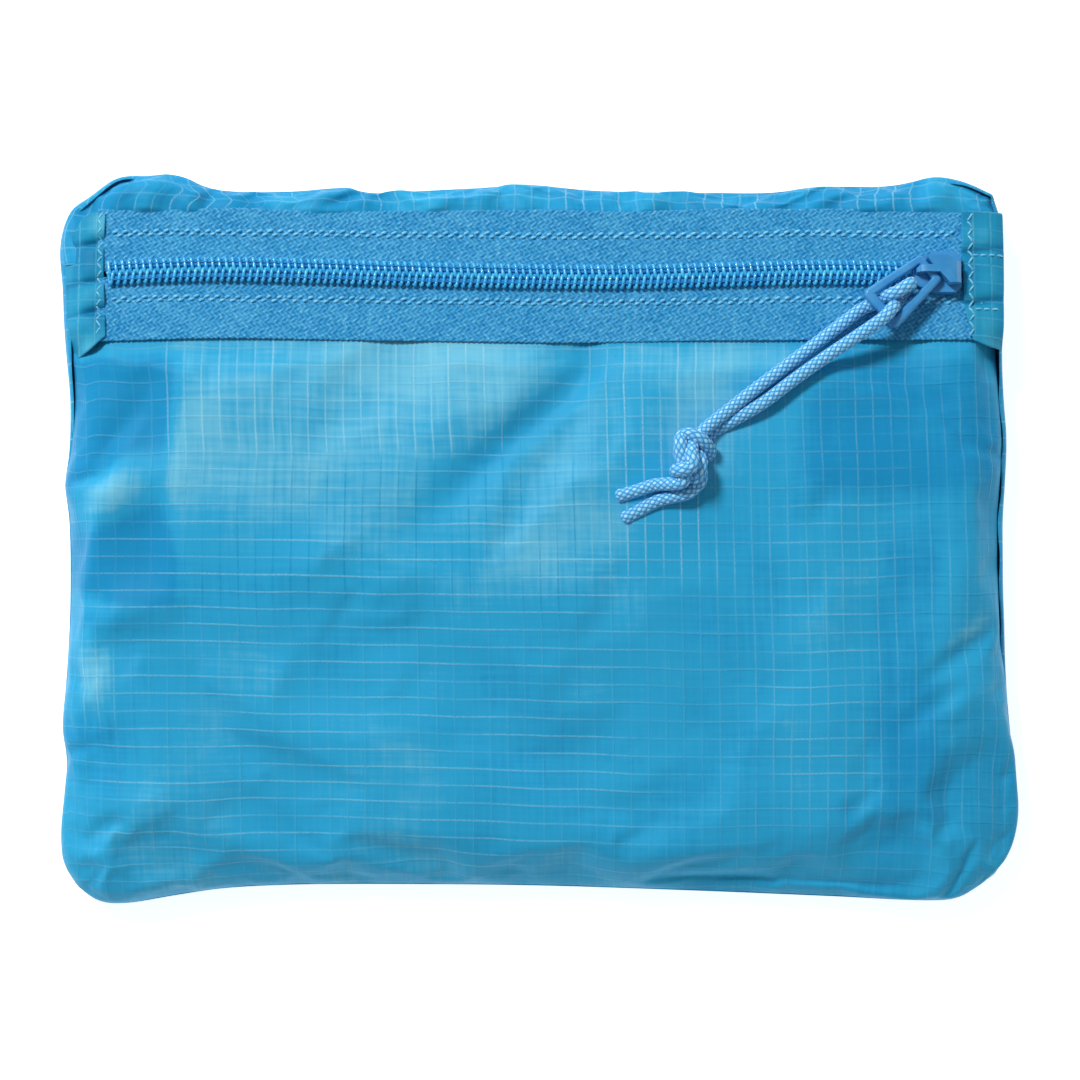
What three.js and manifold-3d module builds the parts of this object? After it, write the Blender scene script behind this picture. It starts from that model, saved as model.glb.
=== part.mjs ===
// A foldable ripstop tote bag, packed flat into its own zip pouch. Millimetres, +Z up.
// The pouch lies on its back: +X runs along the zipper to its closed end, +Y points from the
// pouch's bottom fold to the zipper side, and +Z comes out of the front panel.
import * as THREE from 'three';
import { mergeVertices } from 'three/addons/utils/BufferGeometryUtils.js';
import Module from 'manifold-3d';

const wasm = await Module();
wasm.setup();

// ---- Driving dimensions ----

const GAP = 0.3; // left between pieces that touch on the real bag
const TRIM_GAP = 0.1; // left under a row of thread
const CLOTH = 0.8; // drawn thickness of a pouch panel

const pouch = {
  halfLength: 116, // along X
  halfHeight: 88, // along Y
  corner: 15, // radius of the corners, seen from the front
  seam: 5.5, // height of the side seam above the floor
  frontRoll: 16, // width of the rounded edge of the front
  backRoll: 12, // width of the rounded edge of the back
  frontTop: 58, // Y of the front panel's upper edge, under the zipper tape
  bandBottom: 69.4, // Y of the top band's lower edge, under the zipper tape
};

// The strip of cloth folded over the raw edges of a side seam, inside the pouch.
const binding = { near: 107.6, far: 114.2, rise: 0.7, thickness: 0.8, bottom: -64, top: 42 };

// The folded tote inside: how its layers stack, and where each folded part lies.
const layers = { thickness: 1, pitch: 1.57 };
const stack = {
  halfLength: 103,
  bottom: -75,
  top: 53,
  backZ: 1.2,
  frontZ: 7.3,
  folds: 4,
};
const gusset = { halfLength: 88, bottom: -46, top: 24, z: 13.8, thickness: 0.9 };
const hem = { halfLength: 86, width: 14, frontY: -42, backY: 6, z: 14.6, thickness: 0.8 };
const strap = { backHalf: 99, frontHalf: 95, bottom: 56.6, top: 77.2, folds: 3, frontZ: 5.6 };

// Height of the front over its middle line, as [Y, Z] from the bottom fold to the top fold.
const crownLine = [
  [-88, 15.2], [-60, 16.8], [-20, 18.2], [15, 18], [35, 16.7],
  [47, 15.2], [58, 13.7], [69.4, 12.1], [80, 10.6], [88, 9.6],
];

// The zipper lies in a plane that leans down towards the top fold. Its own frame has its origin
// on the chain, on the upper face of the tapes: x along the chain, y across it, z out of it.
const zipper = {
  y: 63.5,
  z: 13.9,
  lean: THREE.MathUtils.degToRad(8),
  left: -106,
  right: 106,
  tape: 0.5, // thickness of a tape
  inner: 0.65, // from the chain's middle line to the edge of a tape or coil
  outer: 16, // from the middle line to the far edge of a tape
  coilWidth: 2.35,
  coilHeight: 1.4,
  coilLeft: -103.6,
  coilRight: 100.5,
  stitchLower: -6.3,
  stitchUpper: 9.9,
};

// The end tabs, in the zipper's frame, and the thread that is sewn down each of them.
const tab = { top: 1.05, thickness: 0.7, leftFrom: -19.6, leftTo: 15.3, rightFrom: -17.9, rightTo: 15.2 };
const tabThread = { left: -105.3, right: 102.6, from: -16.5, to: 14.5, halfWidth: 0.2, height: 0.17 };

const slider = {
  rear: 89.1,
  front: 100.4,
  plate: 1.1, // thickness of the two plates
  topPlate: 2, // height of the upper plate's lower face
  flangeInner: 3.7,
  flangeBottom: 0.35,
  hoodTop: 6.9,
  wall: 0.8,
};

const pawl = { halfWidth: 0.4, tooth: 0.9, armBottom: 3.6, armTop: 4.3 };

// The puller turns about the middle of its crossbar, which lies under the hood's nose.
const puller = {
  x: 92.4,
  y: 0.3,
  z: 4.5,
  turn: THREE.MathUtils.degToRad(40.4), // how far it points below the chain, seen from the front
  bar: 0.95, // half the width of a bar
  length: 14.8, // between the middles of the crossbar and the end bar
  slimWidth: 8.2, // outside, at the slider
  wideWidth: 11.2, // outside, at the free end
  thickness: 1.8,
};

const cord = { radius: 1.45, sides: 8 };

// The cord's route. It starts under the puller's end bar, comes up through the frame, turns back
// near the slider and leaves over the end bar. Then its two strands run to the knot.
const bightRoute = [
  [76.1, 54.7, 17.5], [77.7, 55.5, 16.9], [79.4, 56.2, 16.6], [80.7, 56.9, 16.9], [81.8, 57.4, 18],
  [82.5, 57.9, 19.4], [83.6, 58.4, 20.8], [85.1, 59.1, 21.5], [86.5, 60, 21.5], [87.6, 60.7, 21.1],
  [88.2, 61, 19.7], [87.7, 60.2, 18.5], [86.9, 59.4, 18.1], [85.9, 58, 17.5], [85.2, 56.8, 17.5],
  [84.6, 55.9, 18.4], [84.2, 55.5, 19.9], [83.8, 55.3, 21.4], [83.1, 54.6, 22.3],
  [82.2, 53.5, 22.7], [81, 52.4, 22.7], [79.5, 51.3, 22.5],
];
const strandA = [
  [75.8, 54.5, 17.6], [71.5, 51.2, 18.6], [66, 47, 19.5], [58, 41, 20.4], [50.3, 35.2, 21.1],
  [44.5, 30.6, 21.7], [39.4, 24.6, 22.6],
];
const strandB = [
  [79.2, 51, 22.5], [74.5, 47.9, 22.1], [68.5, 43.9, 21.7], [60, 37.9, 21.4], [52.4, 32.2, 21.4],
  [46.8, 27.9, 21.8], [40.9, 21.2, 22.6],
];
const tailA = [[34, 16, 22.6], [30.5, 14.2, 22.3], [27, 13, 22], [23, 11.7, 21.5], [17.9, 10.2, 21]];
const tailB = [[35, 13.5, 22], [32, 11.3, 21.6], [28, 9.3, 21.2], [23.5, 7, 20.9], [19.3, 4.8, 20.7]];
const knot = { x: 36.5, y: 18.4, z: 22.8, halfX: 5.9, halfY: 8.3, halfZ: 4.4 };

// ---- Materials ----

function finish(color, roughness, metalness) {
  return { color, roughness, metalness };
}

const finishes = {
  ripstop: finish(0x2ea0cf, 0.5, 0),
  lining: finish(0x2b93c2, 0.55, 0),
  tape: finish(0x4a9bd8, 0.8, 0),
  coil: finish(0x3f97d6, 0.4, 0),
  thread: finish(0x7cc4ea, 0.6, 0),
  paint: finish(0x4a93cf, 0.35, 0.1),
  steel: finish(0x9aa4ad, 0.35, 0.9),
  cord: finish(0x74b2e6, 0.75, 0),
  webbing: finish(0x3a90c8, 0.8, 0),
};

function named(name, geometry, look) {
  const mesh = new THREE.Mesh(geometry, new THREE.MeshStandardMaterial(finishes[look]));
  mesh.name = name;
  return mesh;
}

// ---- Geometry helpers ----

function solid(geometry) {
  const bare = geometry.clone();
  bare.deleteAttribute('normal');
  bare.deleteAttribute('uv');
  const merged = mergeVertices(bare, 1e-4);
  return new wasm.Manifold(new wasm.Mesh({
    numProp: 3,
    vertProperties: merged.attributes.position.array,
    triVerts: new Uint32Array(merged.index.array),
  }));
}

function geometryOf(shape) {
  const mesh = shape.getMesh();
  const geometry = new THREE.BufferGeometry();
  geometry.setAttribute('position', new THREE.BufferAttribute(mesh.vertProperties, 3));
  geometry.setIndex(new THREE.BufferAttribute(mesh.triVerts, 1));
  geometry.computeVertexNormals();
  return geometry;
}

function block(x0, x1, y0, y1, z0, z1) {
  const box = new THREE.BoxGeometry(x1 - x0, y1 - y0, z1 - z0);
  return box.translate((x0 + x1) / 2, (y0 + y1) / 2, (z0 + z1) / 2);
}

// An outline in the XY plane, thickened from z0 to z1.
function plate(points, z0, z1) {
  const shape = new THREE.Shape(points.map(([x, y]) => new THREE.Vector2(x, y)));
  const options = { depth: z1 - z0, bevelEnabled: false };
  return new THREE.ExtrudeGeometry(shape, options).translate(0, 0, z0);
}

// An outline in the XZ plane, thickened from y0 to y1.
function upright(points, y0, y1) {
  const turned = plate(points, 0, y1 - y0).rotateX(Math.PI / 2);
  return turned.translate(0, y1, 0);
}

// The outline of a strip that follows a path of right-angled or straight steps.
function stripOutline(path, thickness) {
  const points = path.map(([x, y]) => new THREE.Vector2(x, y));
  const left = [];
  const right = [];
  points.forEach((point, i) => {
    const before = point.clone().sub(points[Math.max(i - 1, 0)]).normalize();
    const after = points[Math.min(i + 1, points.length - 1)].clone().sub(point).normalize();
    const across = new THREE.Vector2(-before.y, before.x);
    across.add(new THREE.Vector2(-after.y, after.x));
    across.multiplyScalar(thickness / 2);
    left.push([point.x + across.x, point.y + across.y]);
    right.unshift([point.x - across.x, point.y - across.y]);
  });
  return [...left, ...right];
}

// The path of a strip folded to and fro between two ends, one layer above the other.
function foldedPath(from, to, bottom, layers, pitch) {
  const path = [];
  for (let i = 0; i < layers; i++) {
    const ends = i % 2 === 0 ? [from, to] : [to, from];
    ends.forEach((end) => path.push([end, bottom + i * pitch]));
  }
  return path;
}

function tube(route, radius) {
  const section = new THREE.Shape(
    new THREE.EllipseCurve(0, 0, radius, radius).getPoints(cord.sides).slice(0, cord.sides),
  );
  const path = new THREE.CatmullRomCurve3(route.map((point) => new THREE.Vector3(...point)));
  return new THREE.ExtrudeGeometry(section, { steps: 2 * (route.length - 1), extrudePath: path });
}

// A sheet of cloth: place(u, v) is its outer face, which looks up where outerSide is 1 and down
// where it is -1. It thickens away from that side, and never past the height of its rim.
function sheet(columns, rows, place, thickness, outerSide) {
  const rim = pouch.seam + outerSide * GAP / 2;
  const count = (columns + 1) * (rows + 1);
  const positions = new Float32Array(count * 2 * 3);
  const step = 1e-3;
  for (let j = 0; j <= rows; j++) {
    for (let i = 0; i <= columns; i++) {
      const u = i / columns;
      const v = j / rows;
      const here = place(u, v);
      const alongU = place(Math.min(u + step, 1), v).sub(place(Math.max(u - step, 0), v));
      const alongV = place(u, Math.min(v + step, 1)).sub(place(u, Math.max(v - step, 0)));
      const normal = alongU.cross(alongV).normalize().multiplyScalar(outerSide);
      const inner = here.clone().addScaledVector(normal, -thickness);
      inner.z = outerSide > 0 ? Math.max(inner.z, rim) : Math.min(inner.z, rim);
      const at = j * (columns + 1) + i;
      here.toArray(positions, at * 3);
      inner.toArray(positions, (count + at) * 3);
    }
  }
  const faces = [];
  const quad = (a, b, c, d) => {
    faces.push(...(outerSide > 0 ? [a, b, c, a, c, d] : [a, c, b, a, d, c]));
  };
  const at = (i, j) => j * (columns + 1) + i;
  for (let j = 0; j < rows; j++) {
    for (let i = 0; i < columns; i++) {
      quad(at(i, j), at(i + 1, j), at(i + 1, j + 1), at(i, j + 1));
      quad(count + at(i, j), count + at(i, j + 1), count + at(i + 1, j + 1), count + at(i + 1, j));
    }
  }
  for (let i = 0; i < columns; i++) {
    quad(at(i, 0), count + at(i, 0), count + at(i + 1, 0), at(i + 1, 0));
    quad(at(i, rows), at(i + 1, rows), count + at(i + 1, rows), count + at(i, rows));
  }
  for (let j = 0; j < rows; j++) {
    quad(at(0, j), at(0, j + 1), count + at(0, j + 1), count + at(0, j));
    quad(at(columns, j), count + at(columns, j), count + at(columns, j + 1), at(columns, j + 1));
  }
  const geometry = new THREE.BufferGeometry();
  geometry.setAttribute('position', new THREE.BufferAttribute(positions, 3));
  geometry.setIndex(faces);
  return geometry;
}

// ---- The pouch ----

// How far a point lies inside the pouch's rounded outline.
function inset(x, y) {
  const qx = Math.abs(x) - pouch.halfLength + pouch.corner;
  const qy = Math.abs(y) - pouch.halfHeight + pouch.corner;
  const outside = Math.hypot(Math.max(qx, 0), Math.max(qy, 0));
  return Math.max(pouch.corner - outside - Math.min(Math.max(qx, qy), 0), 0);
}

// 0 at the outline, 1 past the rounded edge, with an upright start.
function rolled(distance, width) {
  const rest = 1 - Math.min(distance / width, 1);
  return Math.sqrt(1 - rest * rest);
}

function crown(y) {
  const next = crownLine.findIndex(([knotY], i) => i > 0 && y <= knotY);
  const [y0, z0] = crownLine[next - 1];
  const [y1, z1] = crownLine[next];
  return THREE.MathUtils.mapLinear(y, y0, y1, z0, z1);
}

function halfWidth(y) {
  const over = Math.max(Math.abs(y) - pouch.halfHeight + pouch.corner, 0);
  return pouch.halfLength - pouch.corner + Math.sqrt(pouch.corner ** 2 - over ** 2);
}

// Even spacing in the middle and close spacing at both ends of 0 to 1.
function easeBoth(t) {
  return THREE.MathUtils.lerp(t, (1 - Math.cos(Math.PI * t)) / 2, 0.75);
}

function frontPoint(x, y) {
  const rim = pouch.seam + GAP / 2;
  const rise = (crown(y) - rim) * rolled(inset(x, y), pouch.frontRoll);
  return new THREE.Vector3(x, y, rim + rise);
}

function backPoint(x, y) {
  const rim = pouch.seam - GAP / 2;
  return new THREE.Vector3(x, y, rim * (1 - rolled(inset(x, y), pouch.backRoll)));
}

function frontPanel() {
  const place = (u, v) => {
    const y = THREE.MathUtils.lerp(-pouch.halfHeight, pouch.frontTop, 1 - Math.cos(v * Math.PI / 2));
    return frontPoint((2 * easeBoth(u) - 1) * halfWidth(y), y);
  };
  return sheet(26, 16, place, CLOTH, 1);
}

function topBand() {
  const place = (u, v) => {
    const y = THREE.MathUtils.lerp(pouch.bandBottom, pouch.halfHeight, Math.sin(v * Math.PI / 2));
    return frontPoint((2 * easeBoth(u) - 1) * halfWidth(y), y);
  };
  return sheet(26, 6, place, CLOTH, 1);
}

function backPanel() {
  const place = (u, v) => {
    const y = (2 * easeBoth(v) - 1) * pouch.halfHeight;
    return backPoint((2 * easeBoth(u) - 1) * halfWidth(y), y);
  };
  return sheet(26, 18, place, CLOTH, -1);
}

function seamBinding(side) {
  const near = binding.near * side;
  const far = binding.far * side;
  const lower = pouch.seam - binding.rise;
  const upper = pouch.seam + binding.rise;
  const path = [[far, lower], [near, lower], [near, upper], [far, upper]];
  return upright(stripOutline(path, binding.thickness), binding.bottom, binding.top);
}

// ---- The tote inside ----

function foldedAcross(from, to, y0, y1, bottom, count) {
  const path = foldedPath(from, to, bottom + layers.thickness / 2, count, layers.pitch);
  return upright(stripOutline(path, layers.thickness), y0, y1);
}

function foldedAlong(from, to, x0, x1, bottom, count) {
  return foldedAcross(from, to, x0, x1, bottom, count).rotateZ(Math.PI / 2);
}

function hemStrip(y) {
  return block(-hem.halfLength, hem.halfLength, y, y + hem.width, hem.z, hem.z + hem.thickness);
}

function baseGusset() {
  const line = [[-gusset.halfLength, gusset.z], [gusset.halfLength, gusset.z]];
  return upright(stripOutline(line, gusset.thickness), gusset.bottom, gusset.top);
}

function foldedStrap(halfLength, z) {
  return foldedAcross(-halfLength, halfLength, strap.bottom, strap.top, z, strap.folds);
}

function tote() {
  const { halfLength, bottom, top, backZ, frontZ, folds } = stack;
  return [
    named('tote_back_panel', foldedAcross(-halfLength, halfLength, bottom, top, backZ, folds), 'lining'),
    named('tote_front_panel', foldedAlong(bottom, top, -halfLength, halfLength, frontZ, folds), 'lining'),
    named('tote_base_gusset', baseGusset(), 'lining'),
    named('tote_hem_front', hemStrip(hem.frontY), 'lining'),
    named('tote_hem_back', hemStrip(hem.backY), 'lining'),
    named('tote_strap_back', foldedStrap(strap.backHalf, stack.backZ), 'webbing'),
    named('tote_strap_front', foldedStrap(strap.frontHalf, strap.frontZ), 'webbing'),
  ];
}

// ---- The zipper, in its own frame ----

function tape(side) {
  const near = zipper.inner * side;
  const far = zipper.outer * side;
  const [y0, y1] = [Math.min(near, far), Math.max(near, far)];
  return block(zipper.left, zipper.right, y0, y1, -zipper.tape, 0);
}

// One side of the chain as a bar of the coil's size, with its corners taken off.
function coil(side) {
  const middle = zipper.inner + zipper.coilWidth / 2;
  const outline = [];
  for (let i = 0; i < 8; i++) {
    const angle = (i + 0.5) * Math.PI / 4;
    const y = side * middle + Math.cos(angle) * zipper.coilWidth / 2 / Math.cos(Math.PI / 8);
    const z = GAP + (1 + Math.sin(angle) / Math.cos(Math.PI / 8)) * zipper.coilHeight / 2;
    outline.push([y, z]);
  }
  const bar = plate(outline, 0, zipper.coilRight - zipper.coilLeft);
  return bar.rotateX(Math.PI / 2).rotateZ(Math.PI / 2).translate(zipper.coilLeft, 0, 0);
}

function stitchRow(y) {
  return block(-103.4, 100.2, y - 0.25, y + 0.25, TRIM_GAP, TRIM_GAP + 0.3);
}

// A tab of ripstop that covers the zipper's end and bends down to the side seam.
function endTab(outline, y0, y1) {
  const lower = outline.map(([x, z]) => [x, z - tab.thickness]).reverse();
  return upright([...outline, ...lower], y0, y1);
}

const leftTab = [[-114.3, -3.6], [-112, -1.4], [-109.5, 0.3], [-107, tab.top], [-104, tab.top]];
const rightTab = [[100.8, tab.top], [106.8, tab.top], [109.3, 0.3], [111.2, -0.9], [112.6, -2.2]];

function tabStitch(x) {
  const bottom = tab.top + TRIM_GAP;
  const half = tabThread.halfWidth;
  return block(x - half, x + half, tabThread.from, tabThread.to, bottom, bottom + tabThread.height);
}

// ---- The slider and its lock ----

const sliderOutline = [
  [slider.rear, -2.6], [90.5, -3.6], [94.5, -4.9], [99.2, -4.9], [slider.front, -3.6],
  [slider.front, 3.6], [99.2, 4.9], [94.5, 4.9], [90.5, 3.6], [slider.rear, 2.6],
];

function sliderBody() {
  const under = -zipper.tape - GAP;
  const top = slider.topPlate + slider.plate;
  const channel = solid(block(
    slider.rear - 1, slider.front + 1, -slider.flangeInner, slider.flangeInner, 0, slider.topPlate,
  ));
  const flanges = solid(plate(sliderOutline, slider.flangeBottom, slider.topPlate + 0.1));
  const divider = solid(block(97.6, 99.9, -0.35, 0.35, under - 0.1, slider.topPlate + 0.1));
  const lockWindow = solid(block(94.5, 96.3, -0.65, 0.65, slider.topPlate - 0.1, top + 0.1));
  const shape = solid(plate(sliderOutline, slider.topPlate, top))
    .add(flanges.subtract(channel))
    .add(solid(plate(sliderOutline, under - slider.plate, under)))
    .add(divider)
    .subtract(lockWindow);
  return geometryOf(shape);
}

// Moves a shape drawn around the crossbar (a along the puller, l across it, h up) to its place.
function atPuller(geometry) {
  geometry.rotateZ(Math.PI + puller.turn);
  return geometry.translate(puller.x, puller.y, puller.z);
}

function sliderHood() {
  const outline = [
    [89.5, -0.6], [94.9, -0.7], [97.2, -3.3], [100.1, -3], [100.2, 1.9],
    [96.6, 3.3], [93.2, 3.3], [92, 2.8], [93.3, 1], [90.3, 1], [89.5, 0.4],
  ];
  const bottom = slider.topPlate + slider.plate + GAP;
  const profile = [
    [89.5, bottom], [100.2, bottom], [100.2, 4.8], [99, 6.1], [96, slider.hoodTop],
    [92, slider.hoodTop], [90.6, 6.5], [89.5, 5.2],
  ];
  const room = [
    [95.2, -0.9], [97.4, -2.5], [99.3, -2.3], [99.4, 1.4], [96.4, 2.4], [94.2, 2.4], [94.2, 0.9],
  ];
  const ceiling = [
    [94, bottom - 1], [99.5, bottom - 1], [99.5, 4.6], [98.6, 5.3], [96, slider.hoodTop - slider.wall],
    [94, slider.hoodTop - slider.wall],
  ];
  const clear = puller.bar + GAP;
  const tunnelShape = new THREE.Shape();
  tunnelShape.moveTo(-clear, -3);
  tunnelShape.lineTo(clear, -3);
  tunnelShape.lineTo(clear, 0);
  tunnelShape.absarc(0, 0, clear, 0, Math.PI);
  const tunnelOptions = { depth: 14, bevelEnabled: false, curveSegments: 8 };
  const tunnel = new THREE.ExtrudeGeometry(tunnelShape, tunnelOptions);
  tunnel.translate(0, 0, -7).rotateX(Math.PI / 2);
  const shape = solid(upright(profile, -5, 5))
    .intersect(solid(plate(outline, 0, 10)))
    .subtract(solid(plate(room, 0, 10)).intersect(solid(upright(ceiling, -5, 5))))
    .subtract(solid(atPuller(tunnel)));
  return geometryOf(shape);
}

// The sprung pawl: an arm under the hood, with a tooth that drops between the coils.
function lockPawl() {
  const side = [
    [95, pawl.tooth], [95.7, pawl.tooth], [95.9, pawl.armBottom], [99.2, pawl.armBottom],
    [99.2, pawl.armTop], [95, pawl.armTop],
  ];
  return upright(side, -pawl.halfWidth, pawl.halfWidth);
}

function pullerFrame() {
  const slim = puller.slimWidth / 2;
  const wide = puller.wideWidth / 2;
  const near = -puller.bar;
  const far = puller.length + puller.bar;
  const round = 1.3;
  const bar = 2 * puller.bar;
  const outline = new THREE.Shape();
  outline.moveTo(near + round, -slim);
  outline.lineTo(far - round, -wide);
  outline.quadraticCurveTo(far, -wide, far, -wide + round);
  outline.lineTo(far, wide - round);
  outline.quadraticCurveTo(far, wide, far - round, wide);
  outline.lineTo(near + round, slim);
  outline.quadraticCurveTo(near, slim, near, slim - round);
  outline.lineTo(near, -slim + round);
  outline.quadraticCurveTo(near, -slim, near + round, -slim);
  const slot = new THREE.Path();
  slot.moveTo(near + bar, -slim + bar);
  slot.lineTo(near + bar, slim - bar);
  slot.lineTo(far - bar, wide - bar);
  slot.lineTo(far - bar, -wide + bar);
  slot.lineTo(near + bar, -slim + bar);
  outline.holes.push(slot);
  const edge = 0.5;
  const frame = new THREE.ExtrudeGeometry(outline, {
    depth: puller.thickness - 2 * edge,
    bevelThickness: edge,
    bevelSize: edge,
    bevelOffset: -edge,
    bevelSegments: 2,
    curveSegments: 4,
  });
  return atPuller(frame.translate(0, 0, -puller.thickness / 2 + edge));
}

// ---- The pull cord ----

function knotBall(grow) {
  const ball = new THREE.SphereGeometry(1, 16, 10);
  ball.scale(knot.halfX + grow, knot.halfY + grow, knot.halfZ + grow);
  return ball.translate(knot.x, knot.y, knot.z);
}

function intoKnot(route) {
  return geometryOf(solid(tube(route, cord.radius)).subtract(solid(knotBall(GAP))));
}

// ---- Assembly ----

const zipperFrame = new THREE.Group();
zipperFrame.position.set(0, zipper.y, zipper.z);
zipperFrame.rotation.x = -zipper.lean;
zipperFrame.add(
  named('zipper_tape_lower', tape(-1), 'tape'),
  named('zipper_tape_upper', tape(1), 'tape'),
  named('zipper_coil_lower', coil(-1), 'coil'),
  named('zipper_coil_upper', coil(1), 'coil'),
  named('topstitch_lower', stitchRow(zipper.stitchLower), 'thread'),
  named('topstitch_upper', stitchRow(zipper.stitchUpper), 'thread'),
  named('end_tab_left', endTab(leftTab, tab.leftFrom, tab.leftTo), 'ripstop'),
  named('end_tab_right', endTab(rightTab, tab.rightFrom, tab.rightTo), 'ripstop'),
  named('tab_stitch_left', tabStitch(tabThread.left), 'thread'),
  named('tab_stitch_right', tabStitch(tabThread.right), 'thread'),
  named('slider_body', sliderBody(), 'paint'),
  named('slider_cap', sliderHood(), 'paint'),
  named('lock_pawl', lockPawl(), 'steel'),
  named('puller_frame', pullerFrame(), 'paint'),
);

const bag = new THREE.Group();
bag.add(
  named('pouch_front_panel', frontPanel(), 'ripstop'),
  named('pouch_back_panel', backPanel(), 'ripstop'),
  named('pouch_top_band', topBand(), 'ripstop'),
  named('seam_binding_left', seamBinding(-1), 'lining'),
  named('seam_binding_right', seamBinding(1), 'lining'),
  ...tote(),
  zipperFrame,
  named('pull_cord_bight', tube(bightRoute, cord.radius), 'cord'),
  named('pull_cord_strand_a', intoKnot(strandA), 'cord'),
  named('pull_cord_strand_b', intoKnot(strandB), 'cord'),
  named('pull_cord_knot', knotBall(0), 'cord'),
  named('pull_cord_tail_a', intoKnot(tailA), 'cord'),
  named('pull_cord_tail_b', intoKnot(tailB), 'cord'),
);

export default bag;
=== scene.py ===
"""Looks of a ripstop tote bag packed into its zip pouch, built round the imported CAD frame.
Lengths in the code are in millimetres unless a name ends in _m; meshes are made in metres."""

import math

import bmesh
import bpy
import numpy as np
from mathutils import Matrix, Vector


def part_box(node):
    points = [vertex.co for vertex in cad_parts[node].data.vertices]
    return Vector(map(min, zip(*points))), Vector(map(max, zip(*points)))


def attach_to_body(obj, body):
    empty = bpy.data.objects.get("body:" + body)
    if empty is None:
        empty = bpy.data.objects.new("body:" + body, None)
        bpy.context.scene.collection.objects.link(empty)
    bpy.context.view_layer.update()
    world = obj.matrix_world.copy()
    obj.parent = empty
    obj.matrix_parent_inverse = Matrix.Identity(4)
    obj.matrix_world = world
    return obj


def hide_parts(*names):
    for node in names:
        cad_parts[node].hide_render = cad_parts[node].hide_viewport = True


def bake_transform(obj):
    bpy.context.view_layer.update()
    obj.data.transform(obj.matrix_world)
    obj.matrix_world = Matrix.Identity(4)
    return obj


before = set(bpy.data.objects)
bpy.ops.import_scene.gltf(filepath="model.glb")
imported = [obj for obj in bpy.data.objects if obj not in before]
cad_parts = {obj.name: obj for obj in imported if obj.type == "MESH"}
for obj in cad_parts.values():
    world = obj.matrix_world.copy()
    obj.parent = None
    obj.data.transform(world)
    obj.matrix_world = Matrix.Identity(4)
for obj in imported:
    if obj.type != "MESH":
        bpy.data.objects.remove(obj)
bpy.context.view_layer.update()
scene = bpy.context.scene
MM = 0.001

# ---- Sizes ----

SEAM = 5.5  # height of the side seam above the floor
ZIP_Y, ZIP_Z = 63.5, 13.9  # the chain's line, on the upper face of the tapes
LEAN = math.radians(8)  # the zipper's plane leans down towards the top fold
TURN = math.radians(40.4)  # how far the puller points below the chain
RIPSTOP = 4.2  # pitch of the ripstop grid
COIL_PITCH = 1.65
CORD = 3.1  # diameter of the pull cord
YARNS = 7  # yarns each way round the braid
BRAID = 1.8  # length along the cord from yarn to yarn
CORD_SIDES = 28
WIRE, CORE, SEWN = 0.4, 0.5, 0.2  # radii of the coils' wire, of their core and of the thread over it
ROW_THREAD = 0.34  # radius of the thread in the rows on the tapes
TAB_THREADS = [0.2, 0.24]  # and in the left and the right tab
TAPE_THICK, TAB_THICK, BACK_THICK = 0.42, 0.7, 0.12

CROWN_Y = [-88, -60, -20, 15, 35, 47, 58, 69.4, 80, 88]
CROWN_Z = [15.2, 16.8, 18.2, 18, 16.8, 15.5, 13.9, 12.1, 10.6, 9.6]

# ---- Curves and smooth noise ----


def smooth(t):
    t = np.clip(t, 0, 1)
    return t * t * (3 - 2 * t)


def ramp(x, x0, x1):
    return smooth((np.asarray(x, float) - x0) / (x1 - x0))


def spline(points, count=None, step=None):
    """A centripetal Catmull-Rom curve through the points, evenly resampled."""
    p = np.asarray(points, float)
    q = np.concatenate([[2 * p[0] - p[1]], p, [2 * p[-1] - p[-2]]])
    gaps = np.maximum(np.linalg.norm(np.diff(q, axis=0), axis=1) ** 0.5, 1e-4)
    dense = []
    for i in range(1, len(q) - 2):
        knots = np.cumsum([0.0, *gaps[i - 1:i + 2]])
        t = np.linspace(knots[1], knots[2], 24, endpoint=False)[:, None]
        level = q[i - 1:i + 3]
        for span, first in ((1, 0), (2, 0), (1, 1)):
            level = [
                ((knots[k + span] - t) * level[k - first] + (t - knots[k]) * level[k - first + 1])
                / (knots[k + span] - knots[k])
                for k in range(first, first + len(level) - 1)
            ]
        dense.append(level[0])
    return resampled(np.concatenate(dense + [p[-1:]]), count, step)


def lengths_along(points):
    """The length of a run of points up to each of them."""
    return np.r_[0, np.cumsum(np.linalg.norm(np.diff(points, axis=0), axis=1))]


def resampled(points, count=None, step=None):
    s = lengths_along(points)
    n = count or max(2, int(round(s[-1] / step)) + 1)
    t = np.linspace(0, s[-1], n)
    return np.stack([np.interp(t, s, points[:, k]) for k in range(points.shape[1])], 1)


def wander(x, y, wavelength, seed, waves=9):
    """Smooth noise of about -1 to 1: a few waves in seeded directions."""
    rng = np.random.default_rng(seed)
    total = 0
    for _ in range(waves):
        angle = rng.uniform(0, 2 * math.pi)
        k = 2 * math.pi / (wavelength * rng.uniform(0.7, 1.6))
        total = total + np.sin(k * (x * math.cos(angle) + y * math.sin(angle)) + rng.uniform(0, 7))
    return total / waves ** 0.5 / 1.3


def hump(x, y, x0, y0, long, wide, angle=0.0, power=2):
    """1 at (x0, y0), falling smoothly to 0 outside an ellipse turned by angle, in degrees."""
    c, s = math.cos(math.radians(angle)), math.sin(math.radians(angle))
    a = ((x - x0) * c + (y - y0) * s) / long
    b = (-(x - x0) * s + (y - y0) * c) / wide
    return np.exp(-(np.abs(a) ** power) - np.abs(b) ** power)


def humps(x, y, table):
    """A sum of humps, each (amount, x0, y0, long, wide, angle, power)."""
    return sum(amount * hump(x, y, *shape) for amount, *shape in table)


# ---- Meshes ----


def linked_object(name, data):
    o = bpy.data.objects.new(name, data)
    scene.collection.objects.link(o)
    return o


def shade_smooth(mesh):
    mesh.polygons.foreach_set("use_smooth", np.full(len(mesh.polygons), True))


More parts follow.
